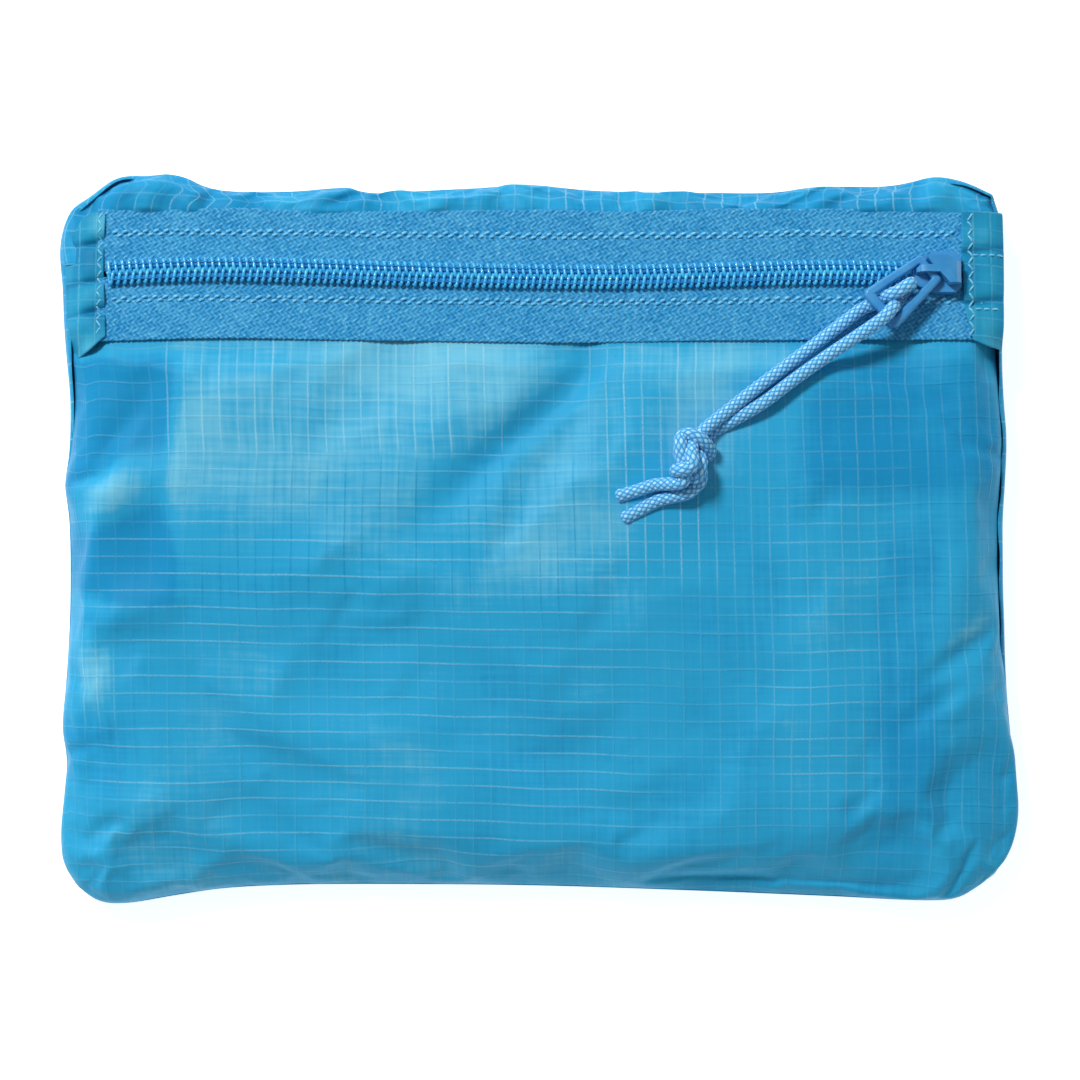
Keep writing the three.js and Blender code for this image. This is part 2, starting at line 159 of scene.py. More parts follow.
def mesh_from(name, points, faces, corner_uv, material):
    """points in mm, and one UV pair a face corner on the map named cloth."""
    mesh = bpy.data.meshes.new(name)
    mesh.from_pydata((np.asarray(points, float) * MM).tolist(), [], faces)
    mesh.uv_layers.new(name="cloth").data.foreach_set("uv", corner_uv.ravel())
    shade_smooth(mesh)
    mesh.update()
    mesh.materials.append(material)
    return linked_object(name, mesh)


def mesh_object(name, points, faces, uv, material):
    """points in mm, and one UV pair a point."""
    return mesh_from(name, points, faces.tolist(), np.asarray(uv, float)[faces], material)


def grid_faces(columns, rows):
    """Faces of a grid of (columns + 1) by (rows + 1) points, rows last, that looks along +Z."""
    i, j = np.meshgrid(np.arange(columns), np.arange(rows))
    a = (j * (columns + 1) + i).ravel()
    return np.stack([a, a + 1, a + columns + 2, a + columns + 1], 1)


def set_value(o, name, values):
    layer = o.data.attributes.new(name, "FLOAT", "POINT")
    layer.data.foreach_set("value", np.asarray(values, np.float32))


def coordinates(o):
    co = np.empty(len(o.data.vertices) * 3, np.float32)
    o.data.vertices.foreach_get("co", co)
    return co.reshape(-1, 3).astype(float)


def move_to(o, co):
    o.data.vertices.foreach_set("co", np.asarray(co, np.float32).ravel())
    o.data.update()


def add_subdivision(o):
    m = o.modifiers.new("subdivision", "SUBSURF")
    m.levels = m.render_levels = 1
    m.uv_smooth = "NONE"


def add_thickness(o, thickness):
    m = o.modifiers.new("thickness", "SOLIDIFY")
    m.thickness = thickness * MM


def attach(o, body, slot_name, *node_names):
    """Puts the piece on its body and hides the CAD nodes it stands for. slot_name is not used."""
    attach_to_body(o, body)
    if node_names:
        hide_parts(*node_names)


def frames_along(path):
    """Tangent, normal and binormal along a path, with the least twist."""
    tangent = np.gradient(path, axis=0)
    tangent /= np.linalg.norm(tangent, axis=1, keepdims=True)
    normal = np.empty_like(path)
    first = np.cross(tangent[0], [0.0, 0.0, 1.0])
    if np.linalg.norm(first) < 1e-3:
        first = np.cross(tangent[0], [1.0, 0.0, 0.0])
    normal[0] = first / np.linalg.norm(first)
    for i in range(1, len(path)):
        n = normal[i - 1] - tangent[i] * np.dot(normal[i - 1], tangent[i])
        normal[i] = n / np.linalg.norm(n)
    return tangent, normal, np.cross(tangent, normal)


def tube_data(path, radius, sides, relief, start):
    """Points, faces and corner UVs of a closed tube. relief(angle, length) scales its radius."""
    _, normal, binormal = frames_along(path)
    along = lengths_along(path)
    angle = np.arange(sides) * 2 * math.pi / sides
    r = np.broadcast_to(np.asarray(radius, float).reshape(-1, 1), (len(path), sides))
    if relief is not None:
        r = r * relief(angle[None, :], along[:, None])
    c, s = np.cos(angle)[None, :, None], np.sin(angle)[None, :, None]
    ring = c * normal[:, None, :] + s * binormal[:, None, :]
    points = (path[:, None, :] + r[:, :, None] * ring).reshape(-1, 3)
    i, j = np.meshgrid(np.arange(len(path) - 1), np.arange(sides), indexing="ij")
    i, j = i.ravel(), j.ravel()
    k = (j + 1) % sides
    faces = np.stack([i * sides + j, i * sides + k, (i + 1) * sides + k, (i + 1) * sides + j], 1) + start
    corners = [np.stack([(j + du) / sides, along[i + dv]], 1) for du, dv in ((0, 0), (1, 0), (1, 1), (0, 1))]
    middles = start + len(points)
    points = np.concatenate([points, path[[0, -1]]])
    ring0 = start + np.arange(sides)
    ring1 = ring0 + (len(path) - 1) * sides
    tri0 = np.stack([np.roll(ring0, -1), ring0, np.full(sides, middles)], 1)
    tri1 = np.stack([ring1, np.roll(ring1, -1), np.full(sides, middles + 1)], 1)
    return points, faces, np.stack(corners, 1), np.concatenate([tri0, tri1])


def tubes_object(name, tubes, material):
    """One mesh of many tubes, each (path, radius, sides, relief)."""
    points, faces, uvs, start = [], [], [], 0
    for path, radius, sides, relief in tubes:
        p, f, uv, caps = tube_data(path, radius, sides, relief, start)
        points.append(p)
        faces += f.tolist() + caps.tolist()
        uvs.append(uv.reshape(-1, 2))
        tip = np.zeros((len(caps) * 3, 2))
        tip[:, 1] = np.repeat([uv[..., 1].min(), uv[..., 1].max()], len(caps) * 3 // 2)
        uvs.append(tip)
        start += len(p)
    return mesh_from(name, np.concatenate(points), faces, np.concatenate(uvs), material)


def in_zip_plane(x, y, z):
    """A point of the zipper's own frame, in the row frame."""
    x, y, z = np.broadcast_arrays(np.asarray(x, float), np.asarray(y, float), np.asarray(z, float))
    c, s = math.cos(LEAN), math.sin(LEAN)
    return np.stack([x, ZIP_Y + y * c + z * s, ZIP_Z - y * s + z * c], -1)


# ---- Camera ----


def make_camera():
    data = bpy.data.cameras.new("camera")
    data.lens = 100
    data.sensor_width = 36
    data.clip_start = 0.02
    data.clip_end = 10
    o = linked_object("camera", data)
    o.location = (0, 0, 0.732)
    scene.camera = o


make_camera()

# ---- Node materials ----


class Wire:
    """A node's output that can be used in sums. Each sum adds a Math node."""

    def __init__(self, tree, socket):
        self.tree, self.socket = tree, socket

    def math(self, operation, *others):
        return node(self.tree, "ShaderNodeMath", dict(enumerate((self, *others))), operation=operation)

    def __add__(self, other):
        return self.math("ADD", other)

    def __sub__(self, other):
        return self.math("SUBTRACT", other)

    def __mul__(self, other):
        return self.math("MULTIPLY", other)

    def __truediv__(self, other):
        return self.math("DIVIDE", other)

    def wave(self):
        return self.math("SINE")

    def part(self):
        """What is left over a whole number."""
        return self.math("FRACT")

    def size(self):
        return self.math("ABSOLUTE")

    def most(self, other):
        return self.math("MAXIMUM", other)

    def between(self, low, high, to_low=0.0, to_high=1.0):
        inputs = {0: self, 1: low, 2: high, 3: to_low, 4: to_high}
        return node(self.tree, "ShaderNodeMapRange", inputs, interpolation_type="SMOOTHSTEP")

    def mix(self, a, b):
        """Colour a where this is 0, colour b where it is 1."""
        return node(self.tree, "ShaderNodeMix", {0: self, 6: a, 7: b}, out=2, data_type="RGBA")

    def noise(self, scale, detail=2.0, roughness=0.5):
        inputs = {"Vector": self, "Scale": scale, "Detail": detail, "Roughness": roughness}
        return node(self.tree, "ShaderNodeTexNoise", inputs)


def put(tree, socket, value):
    if isinstance(value, Wire):
        tree.links.new(value.socket, socket)
    else:
        socket.default_value = value


def node(tree, kind, inputs, out=0, **settings):
    n = tree.nodes.new(kind)
    for key, value in settings.items():
        setattr(n, key, value)
    for key, value in inputs.items():
        put(tree, n.inputs[key], value)
    return Wire(tree, n.outputs[out])


def pair(x, y):
    return node(x.tree, "ShaderNodeCombineXYZ", {0: x, 1: y})


def cloth_map(tree):
    """The UV map in mm, and its two parts."""
    uv = node(tree, "ShaderNodeUVMap", {}, uv_map="cloth")
    return uv, *(node(tree, "ShaderNodeSeparateXYZ", {0: uv}, out=k) for k in (0, 1))


def rgb(*shown):
    """A colour given as it looks on a screen, 0 to 255, as a linear one."""
    parts = [v / 255 for v in shown]
    return *(v / 12.92 if v < 0.04045 else ((v + 0.055) / 1.055) ** 2.4 for v in parts), 1.0


def new_material(name, **sockets):
    m = bpy.data.materials.new(name)
    m.use_nodes = True
    shader = m.node_tree.nodes["Principled BSDF"]
    for key, value in sockets.items():
        shader.inputs[key.replace("_", " ")].default_value = value
    return m, m.node_tree, shader


def finish_material(tree, shader, colour, roughness, height, depth):
    put(tree, shader.inputs["Base Color"], colour)
    put(tree, shader.inputs["Roughness"], roughness)
    bump = node(tree, "ShaderNodeBump", {"Height": height, "Distance": depth * MM, "Strength": 1.0})
    put(tree, shader.inputs["Normal"], bump)


def own_place(tree):
    """The mesh's own coordinates, which move along with the piece."""
    return node(tree, "ShaderNodeTexCoord", {}, out=3)


def ripstop_material(name, dark, middle, light, thread):
    """Coated ripstop: a thicker thread every 4.2 mm both ways over a fine plain weave. The mesh says
    how light the cloth is painted (zone: painted light and shade) and how much its long and cross
    threads show, paler as painted glints and darker as painted shade (warp, weft)."""
    m, tree, shader = new_material(name, Sheen_Weight=0.03, Sheen_Roughness=0.4, Specular_IOR_Level=0.06)
    uv, u, v = cloth_map(tree)
    zone, warp, weft = (
        node(tree, "ShaderNodeAttribute", {}, out=2, attribute_name=key) for key in ("zone", "warp", "weft")
    )

    def threads(across, along):
        off = ((across / RIPSTOP).part() - 0.5).size()
        dots = pair(across, along).noise(1.7, 1.0)
        drift = pair(across, along * 0.2).noise(0.16, 1.0)
        shown = dots.between(0.3, 0.62, 0.45, 1.0) * drift.between(0.32, 0.6, 0.35, 1.0)
        return off.between(0.42, 0.485) * shown

    upright, level = threads(u, v), threads(v, u)
    wear = uv.noise(0.3, 3.0)
    # streaks: soft bands along the threads, raised in the bump and also painted into the colour as sheen
    # streaks, a painted highlight and painted shade.
    streaks = pair(u * 0.9, v * 0.05).noise(1.0) * 0.5 + pair(u * 0.05, v * 0.9).noise(1.0) * 0.5
    zone = zone + (wear - 0.5) * 0.16 + (streaks - 0.5) * 0.6
    yarn = 2 * math.pi / 0.5
    weave = (u * yarn).wave() * (v * yarn).wave()
    # dark, middle and light are lit and shaded tones of the one cloth, mixed by the zone: painted light and
    # shade.
    colour = zone.between(0.5, 1.0).mix(zone.between(0.0, 0.5).mix(dark, middle), light)
    # The tops of the fine weave a little paler: a small painted highlight.
    colour = weave.between(-1.0, 1.0, 0.0, 0.06).mix(colour, thread)
    # Threads painted dark where warp is below zero, painted shade along them; painted paler where warp or
    # weft is above zero, painted glints on them.
    colour = (upright * (warp * -1.0).most(0.0)).mix(colour, dark)
    colour = (upright * warp).most(level * weft).mix(colour, thread)
    height = upright.most(level) * 0.8 + weave * 0.12 + streaks * 0.9
    finish_material(tree, shader, colour, wear.between(0.2, 0.8, 0.36, 0.48), height, 0.1)
    return m


def tape_material(name, dark, light, fleck):
    """Woven tape: small slanted ribs that change side, broken up into flecks. The colour follows the
    ribs: painted highlights on their tops and painted shade between them.
    """
    m, tree, shader = new_material(name, Sheen_Weight=0.12, Sheen_Roughness=0.5, Specular_IOR_Level=0.15)
    uv, u, v = cloth_map(tree)
    rib = ((u + v.math("PINGPONG", 1.3)) * (2 * math.pi / 1.25)).wave()
    cross = ((v - u * 0.35) * (2 * math.pi / 1.05)).wave()
    height = rib * 0.3 + cross * 0.2 + uv.noise(0.85, 2.0, 0.6).between(0.25, 0.75, -0.34, 0.56)
    # Lighter on the ribs with the fleck colour on the highest, darker between them: painted highlight and
    # painted shade.
    tone = (height + (uv.noise(0.12) - 0.5)).between(-0.85, 1.0)
    colour = height.between(0.5, 1.0, 0.0, 0.4).mix(tone.mix(dark, light), fleck)
    finish_material(tree, shader, colour, tone.between(0.0, 1.0, 0.85, 0.55), height, 0.16)
    return m


def cord_material(name, ground, strand, fleck):
    """Braid: two families of slanted yarns that pass over and under each other."""
    m, tree, shader = new_material(name, Sheen_Weight=0.12, Sheen_Roughness=0.4, Specular_IOR_Level=0.22)
    uv, u, v = cloth_map(tree)
    turns, length = u * YARNS, v / BRAID
    a, b = turns + length, turns - length
    odd = (a.math("FLOOR") + b.math("FLOOR")).size().math("MODULO", 2.0)
    ridge = ((a.part() * math.pi).wave() * (b.part() * math.pi).wave()).math("POWER", 0.55)
    fibre = uv.noise(3.5)
    # The tone follows the yarns' ridges: darker in the hollows between yarns, painted shade. Pale flecks on
    # the ridges' tops, mostly of alternate yarns: the braid's pale yarns, with a painted highlight on every
    # ridge.
    tone = (ridge + (fibre - 0.5) * 0.4).between(0.25, 0.85)
    pale = ridge.between(0.5, 0.92) * fibre.between(0.3, 0.6, 0.55, 1.0)
    colour = (pale * (odd * 0.56 + 0.12)).mix(tone.mix(ground, strand), fleck)
    finish_material(tree, shader, colour, ridge.between(0.0, 1.0, 0.8, 0.5), ridge, 0.16)
    return m


def plain_material(name, low, high, rough, scale, depth, **sockets):
    """Moulded, painted or spun surfaces: a slightly uneven colour and a fine grain."""
    m, tree, shader = new_material(name, **sockets)
    cloud = own_place(tree).noise(scale, 3.0)
    grain = own_place(tree).noise(scale * 9)
    colour = cloud.between(0.3, 0.7).mix(low, high)
    finish_material(tree, shader, colour, grain.between(0.25, 0.75, rough - 0.06, rough + 0.08), grain, depth)
    return m


# dark, middle and light: lit and shaded tones of the one cloth; the last colour is the paler one of the
# painted glints on threads and weave.
shell_cloth = ripstop_material(
    "ripstop_shell", rgb(0, 136, 190), rgb(32, 158, 206), rgb(108, 188, 216), rgb(168, 220, 234)
)
# The tabs are the shell's cloth in darker tones: painted shade.
tab_cloth = ripstop_material(
    "ripstop_tab", rgb(4, 118, 166), rgb(26, 140, 182), rgb(70, 168, 198), rgb(130, 204, 222)
)
tote_cloth = ripstop_material(
    "ripstop_tote", rgb(0, 118, 170), rgb(8, 140, 188), rgb(50, 160, 200), rgb(130, 200, 222)
)
tape_cloth = tape_material("zipper_tape", rgb(10, 120, 182), rgb(76, 168, 214), rgb(146, 210, 234))
binding_cloth = tape_material("binding_tape", rgb(14, 104, 166), rgb(52, 140, 192), rgb(110, 180, 214))
webbing_cloth = tape_material("strap_webbing", rgb(12, 108, 172), rgb(50, 142, 196), rgb(105, 178, 214))
coil_nylon = plain_material(
    "zipper_coil", rgb(24, 156, 220), rgb(68, 190, 236), 0.28, 400, 0.01,
    Specular_IOR_Level=0.7, Coat_Weight=0.3,
)
thread_yarn = plain_material(
    "sewing_thread", rgb(76, 184, 232), rgb(126, 212, 242), 0.5, 900, 0.03, Sheen_Weight=0.2
)
tab_yarn = plain_material(
    "tab_thread", rgb(76, 174, 212), rgb(124, 206, 230), 0.5, 900, 0.03, Sheen_Weight=0.3
)
slider_paint = plain_material(
    "painted_slider", rgb(44, 134, 196), rgb(60, 146, 204), 0.36, 260, 0.012,
    Specular_IOR_Level=0.5, Coat_Weight=0.15,
)
pawl_steel = plain_material(
    "spring_steel", rgb(120, 128, 136), rgb(150, 158, 166), 0.3, 500, 0.008, Metallic=0.9
)
cord_yarn = cord_material("braided_cord", rgb(60, 152, 218), rgb(116, 196, 238), rgb(204, 236, 248))
core_cord = plain_material("coil_core", rgb(4, 114, 184), rgb(18, 136, 204), 0.8, 500, 0.03)

# ---- The puller's frame and the cord's route ----

PULLER = in_zip_plane(92.4, 0.3, 4.5)
ALONG = in_zip_plane(-math.cos(TURN), -math.sin(TURN), 0.0) - in_zip_plane(0.0, 0.0, 0.0)


# The cord's route, as part.mjs has it.
bight = [
    [76.1, 54.7, 17.5], [77.7, 55.5, 16.9], [79.4, 56.2, 16.6], [80.7, 56.9, 16.9], [81.8, 57.4, 18],
    [82.5, 57.9, 19.4], [83.6, 58.4, 20.8], [85.1, 59.1, 21.5], [86.5, 60, 21.5], [87.6, 60.7, 21.1],
    [88.2, 61, 19.7], [87.7, 60.2, 18.5], [86.9, 59.4, 18.1], [85.9, 58, 17.5], [85.2, 56.8, 17.5],
    [84.6, 55.9, 18.4], [84.2, 55.5, 19.9], [83.8, 55.3, 21.4], [83.1, 54.6, 22.3],
    [82.2, 53.5, 22.7], [81, 52.4, 22.7], [79.5, 51.3, 22.5],
]
APEX = 10
strand_a = [[75.8, 54.5, 17.6], [71.5, 51.2, 18.6], [66, 47, 19.5], [58, 41, 20.4], [50.3, 35.2, 21.1]]
strand_b = [[74.5, 47.9, 22.1], [68.5, 43.9, 21.7], [60, 37.9, 21.4], [52.4, 32.2, 21.4]]
tail_a = [[27, 13, 22], [23, 11.7, 21.5], [17.9, 10.2, 21]]
tail_b = [[28, 9.3, 21.2], [23.5, 7, 20.9], [19.3, 4.8, 20.7]]
KNOT = np.array([36.5, 18.4, 22.3])
KNOT_ROLL = math.radians(300)


def spread(p, rows, columns, amount):
    for k in range(3):
        p[:, k] -= np.bincount(rows, amount[:, k], len(p))
        p[:, k] += np.bincount(columns, amount[:, k], len(p))


def tighten(strands, step, diameter, rounds, pull):
    """Pulls the strands' ends apart while they keep their length and stay out of each other."""
    count = [len(s) for s in strands]
    p = np.concatenate(strands)
    owner = np.repeat(np.arange(len(strands)), count)
    index = np.concatenate([np.arange(c) for c in count])
    firsts = np.cumsum([0] + count[:-1])
    lasts = np.cumsum(count) - 1
    ends = np.concatenate([firsts, lasts])
    inside = np.ones(len(p), bool)
    inside[ends] = False
    mid = np.nonzero(inside)[0]
    apart = 1.7 * diameter / step
    rows, columns = np.triu_indices(len(p), 1)
    own = (owner[rows] == owner[columns]) & (np.abs(index[rows] - index[columns]) < apart)
    rows, columns = rows[~own], columns[~own]
    i, j = rows, columns
    for k in range(rounds):
        if k % 8 == 0:
            close = np.linalg.norm(p[rows] - p[columns], axis=1) < 2 * diameter
            i, j = rows[close], columns[close]
        p[firsts, 0] -= pull
        p[lasts, 0] += pull
        p[ends, 1:] *= 0.96
        p[ends, 1] += 0.04 * np.where(owner[ends] == 0, -0.5, 0.5) * diameter
        p[mid] += 0.24 * (p[mid - 1] + p[mid + 1] - 2 * p[mid])
        knot = np.abs(p[:, 0]) < 12
        p[knot] *= [0.998, 0.999, 0.999]
        for _ in range(5):
            for s, e in zip(firsts, lasts):
                for parity in (0, 1):
                    a = np.arange(s + parity, e, 2)
                    d = p[a + 1] - p[a]
                    long = np.linalg.norm(d, axis=1, keepdims=True)
                    c = (long - step) / long * d / 2
                    p[a] += c
                    p[a + 1] -= c
            d = p[j] - p[i]
            long = np.linalg.norm(d, axis=1)
            hit = long < diameter
            if hit.any():
                c = 0.35 * ((diameter - long[hit]) / np.maximum(long[hit], 1e-6))[:, None] * d[hit]
                spread(p, i[hit], j[hit], c)
    return [p[s:e + 1] for s, e in zip(firsts, lasts)]


def doubled_knot():
    """Both strands tied together in one overhand knot, in a frame whose first axis runs from the
    slider to the tails, cut off a little way outside the knot."""
    t = np.linspace(-2.05, 2.05, 160)
    loop = [1.15 * (t ** 3 - 3 * t), 0.8 * (t ** 4 - 4 * t ** 2), 0.16 * (t ** 5 - 10 * t)]
    line = 3.4 * np.stack(loop, 1)
    line = np.concatenate([line[:1] - [[34, 0, 0]], line, line[-1:] + [[34, 0, 0]]])
    line = resampled(line, step=0.4)
    side = np.cross(np.gradient(line, axis=0), [0, 0, 1.0])
    side /= np.linalg.norm(side, axis=1, keepdims=True)
    step = 0.8
    strands = [resampled(line + o * CORD / 2 * side, step=step) for o in (-1, 1)]
    made = tighten(strands, step, CORD * 0.95, rounds=1100, pull=0.22)
    cut = []
    for s in made:
        for _ in range(14):
            s[1:-1] += 0.25 * (s[:-2] + s[2:] - 2 * s[1:-1])
        first = np.nonzero(s[:, 0] > -9.0)[0][0]
        last = np.nonzero(s[:, 0] < 6.5)[0][-1]
        cut.append(s[first:last + 1:2])
    return cut


def knot_in_place(points):
    along = np.array([-0.74, -0.66, 0.0])
    along /= np.linalg.norm(along)
    across = np.array([-along[1], along[0], 0.0])
    up = np.array([0.0, 0.0, 1.0])
    c, s = math.cos(KNOT_ROLL), math.sin(KNOT_ROLL)
    side, high = c * across + s * up, -s * across + c * up
    placed = points[:, :1] * along + points[:, 1:2] * side + points[:, 2:] * high
    return KNOT + placed * [1, 1, 0.86]


def cord_paths():
    knots = [knot_in_place(k) for k in doubled_knot()]
    b = np.array(bight)
    route_a = np.concatenate([b[APEX::-1], strand_a, knots[1], tail_a])
    route_b = np.concatenate([b[APEX:], strand_b, knots[0], tail_b])
    return [spline(route, step=0.3) for route in (route_a, route_b)]


def braid(angle, length):
    turns = YARNS * angle / (2 * math.pi)
    a, b = turns + length / BRAID, turns - length / BRAID
    ridge = (np.sin(math.pi * (a % 1)) * np.sin(math.pi * (b % 1))) ** 0.55
    return 0.95 + 0.065 * ridge


def make_cord(name, path, nodes):
    o = tubes_object(name, [(path, ends_rounded(path), CORD_SIDES, braid)], cord_yarn)
    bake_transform(o)
    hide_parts(*nodes)


def ends_rounded(path):
    """The cord is fuller in the knot. Its end is heat-cut: a little swollen, then rounded off."""
    along = lengths_along(path)
    left = along[-1] - along
    radius = CORD / 2 * (1 + 0.05 * np.exp(-((left - 1.2) / 0.8) ** 2))
    pressed = 1 + 0.14 * np.exp(-((np.linalg.norm(path - KNOT, axis=1) / 7.5) ** 4))
    return radius * pressed * np.sqrt(np.clip(1 - (1 - np.clip(left / 0.7, 0, 1)) ** 2, 0.15, 1))


path_a, path_b = cord_paths()
make_cord("cord_strand_upper", path_a, ["pull_cord_strand_a", "pull_cord_tail_a", "pull_cord_bight"])
make_cord("cord_strand_lower", path_b, ["pull_cord_strand_b", "pull_cord_tail_b", "pull_cord_knot"])

# ---- The pouch ----

# The outline seen from the front, in four runs that meet at the middles of the corners.
TOP_LEFT, TOP_RIGHT = [-108.7, 83.2], [109.4, 83.5]
LOW_LEFT, LOW_RIGHT = [-111.6, -84], [110, -81]
edge_top = [
    TOP_LEFT, [-102, 87.6], [-95, 88.2], [-87, 88], [-79, 85], [-61, 84.4], [-46, 85.3], [-42.5, 84.1],
    [-33, 84.4], [-13, 85.4], [-3, 86.1], [12, 84.7], [42, 84.1], [57, 84.2], [66, 85.5], [85, 85.8],
    [95, 87.7], [101, 87.1], TOP_RIGHT,
]
edge_low = [
    LOW_LEFT, [-106.5, -87.5], [-101, -88], [-88, -86], [-77, -84.4], [-60, -83.5], [-25, -83.4], [0, -83.7],
    [23, -84.4], [47, -85.3], [71, -86.3], [95, -87.3], [101, -86.7], [105.6, -84], LOW_RIGHT,
]
edge_left = [
    LOW_LEFT, [-115.3, -78], [-115.9, -73], [-115, -60], [-114.6, -53], [-115.6, -46], [-114.6, -32],
    [-113.8, -16], [-114.1, 6], [-115.2, 13.5], [-114.1, 20], [-113.6, 34], [-114.9, 50], [-115.4, 60],
    [-116.1, 71.5], [-113.6, 79.5], TOP_LEFT,
]
edge_right = [
    LOW_RIGHT, [113.8, -75], [115.8, -67], [114.8, -55], [113.3, -40], [112.2, -20], [111.9, 4], [112.8, 23],
    [112, 36], [111.2, 50], [111.1, 66], [111.2, 77], TOP_RIGHT,
]


def outline_loop():
    """The whole outline, anticlockwise seen from above, about 2 mm a step."""
    low, right, top, left = (spline(e, step=2) for e in (edge_low, edge_right, edge_top, edge_left))
    return np.concatenate([run[:-1] for run in (low, right, top[::-1], left[::-1])])


OUTLINE = outline_loop()


def inset(x, y):
    """How far points lie inside the outline."""
    found = np.full(np.shape(x), 1e9)
    for (ax, ay), (bx, by) in zip(OUTLINE, np.roll(OUTLINE, -1, 0)):
        dx, dy = bx - ax, by - ay
        t = np.clip(((x - ax) * dx + (y - ay) * dy) / (dx * dx + dy * dy), 0, 1)
        found = np.minimum(found, (x - ax - t * dx) ** 2 + (y - ay - t * dy) ** 2)
    return np.sqrt(found)


def rolled(distance, width):
    rest = 1 - np.clip(distance / width, 0, 1)
    return np.sqrt(1 - rest * rest)


def crown(y):
    return np.interp(y, CROWN_Y, CROWN_Z)


def patch(bottom, right, top, left):
    """The x and the y of a grid of points that fills four edge curves."""
    u = np.linspace(0, 1, len(bottom))[None, :, None]
    t = np.linspace(0, 1, len(left))[:, None, None]
    ruled = (1 - t) * bottom + t * top + (1 - u) * left[:, None] + u * right[:, None]
    low_corners = (1 - u) * bottom[0] + u * bottom[-1]
    top_corners = (1 - u) * top[0] + u * top[-1]
    grid = ruled - (1 - t) * low_corners - t * top_corners
    return grid[..., 0].ravel(), grid[..., 1].ravel()


def eased(points, count, amount=0.35):
    """The curve through the points, resampled closer together towards both ends."""
    fine = spline(points, count=4 * count)
    t = np.linspace(0, 1, count)
    t = (1 - amount) * t + amount * (1 - np.cos(math.pi * t)) / 2
    s = np.linspace(0, 1, len(fine))
    return np.stack([np.interp(t, s, fine[:, k]) for k in range(2)], 1)


def side_sliver(x, y):
    """How far the front's edge stands back from the outline, where the back shows beside it."""
    right = 1.4 * ramp(x, 90, 105) * ramp(y, -36, -22)
    left = 1.3 * ramp(-x, 90, 105) * ramp(y, 14, 34)
    return right, left


def front_rim(x, y):
    """Height of the front's edge: it stands higher where the back shows beside it."""
    right, left = side_sliver(x, y)
    return SEAM + 0.05 + 2.6 * (right + left)


def lower_part(points, y_end):
    """The part of an edge run, which climbs in y, up to y_end."""
    fine = spline(points, step=0.5)
    part = fine[:np.nonzero(fine[:, 1] <= y_end)[0][-1] + 1]
    part[-1, 1] = y_end
    return part


def upper_part(points, y_start):
    fine = spline(points, step=0.5)
    part = fine[np.nonzero(fine[:, 1] >= y_start)[0][0]:]
    part[0, 1] = y_start
    return part


def thinned(points, every):
    return np.concatenate([points[::every], points[-1:]])


def level_run(start, end, count):
    """Points from start to end at the height of start."""
    return np.stack([np.linspace(start[0], end[0], count), np.full(count, start[1])], 1)


def edge_points(index, count):
    """The points of a grid's border and of the rings added to it."""
    border = [index[0], index[-1], index[:, 0], index[:, -1]]
    return np.unique(np.concatenate(border + [np.arange(index.size, count)]))


FRONT_TOP, BAND_LOW = 60.0, 66.0


def front_shape(x, y):
    """Height of the front before it is stuffed out and creased."""
    rim = front_rim(x, y)
    right, left = side_sliver(x, y)
    return rim + (crown(y) - rim) * rolled(np.maximum(inset(x, y) - right - left, 0), 15)


FRONT_SWELLS = [
    (-2.0, -9, 22, 22, 4.5, 42), (1.4, -20, 31, 24, 8, 42), (-1.4, 9, 38, 14, 6, 60),
    (1.0, 22, 26, 20, 9, 50),
    (2.2, -101, 11, 12, 6, 24), (1.2, -105, -33, 5, 9), (-1.4, -106, -14, 8, 5), (-1.2, -105, -50, 8, 8),
    (-1.2, 80, 30, 30, 9, -14), (-1.4, 84, -36, 9, 30, 8), (1.0, 67, -24, 7, 34, 4), (1.2, 101, -10, 7, 14),
    (-1.2, 100, -27, 14, 2.6, 32), (1.0, 104, -36, 11, 2.6, 32), (-1.0, 18, -50, 44, 8, -6),
    (1.0, -45, -8, 44, 9, -3), (-0.9, -50, -24, 40, 6, 3), (0.7, -60, -62, 44, 12, 3),
]
FRONT_EDGE_PUCKERS = [
    (-1.8, 99, -84, 8, 1.6, 60), (-1.5, 48, -83, 30, 1.2, -2), (-1.4, -22, -82.5, 4, 1.4),
    (-1.6, -112.5, 14, 5, 1.2, 8), (-1.4, -113, -51, 6, 1.2, 18), (-1.2, 110, 20, 5, 1.5, -20),
    (1.0, -102, -80, 12, 5, -35), (0.8, 104, -74, 7, 10),
]


def front_relief(x, y):
    """The soft dents and swellings of the front panel, calmer beside the zipper tape."""
    z = 0.8 * wander(x, y, 70, 11) + 0.4 * wander(x, y, 30, 12) + humps(x, y, FRONT_SWELLS)
    z = z - 2.0 * (1 - ramp(x, -94, -84)) * ramp(y, -18, -6) * (1 - ramp(y, 36, 44))
    z = z * (1 - 0.75 * ramp(y, 38, 47))
    return z * ramp(inset(x, y), 0, 14) + humps(x, y, FRONT_EDGE_PUCKERS) * ramp(inset(x, y), 0.2, 3)


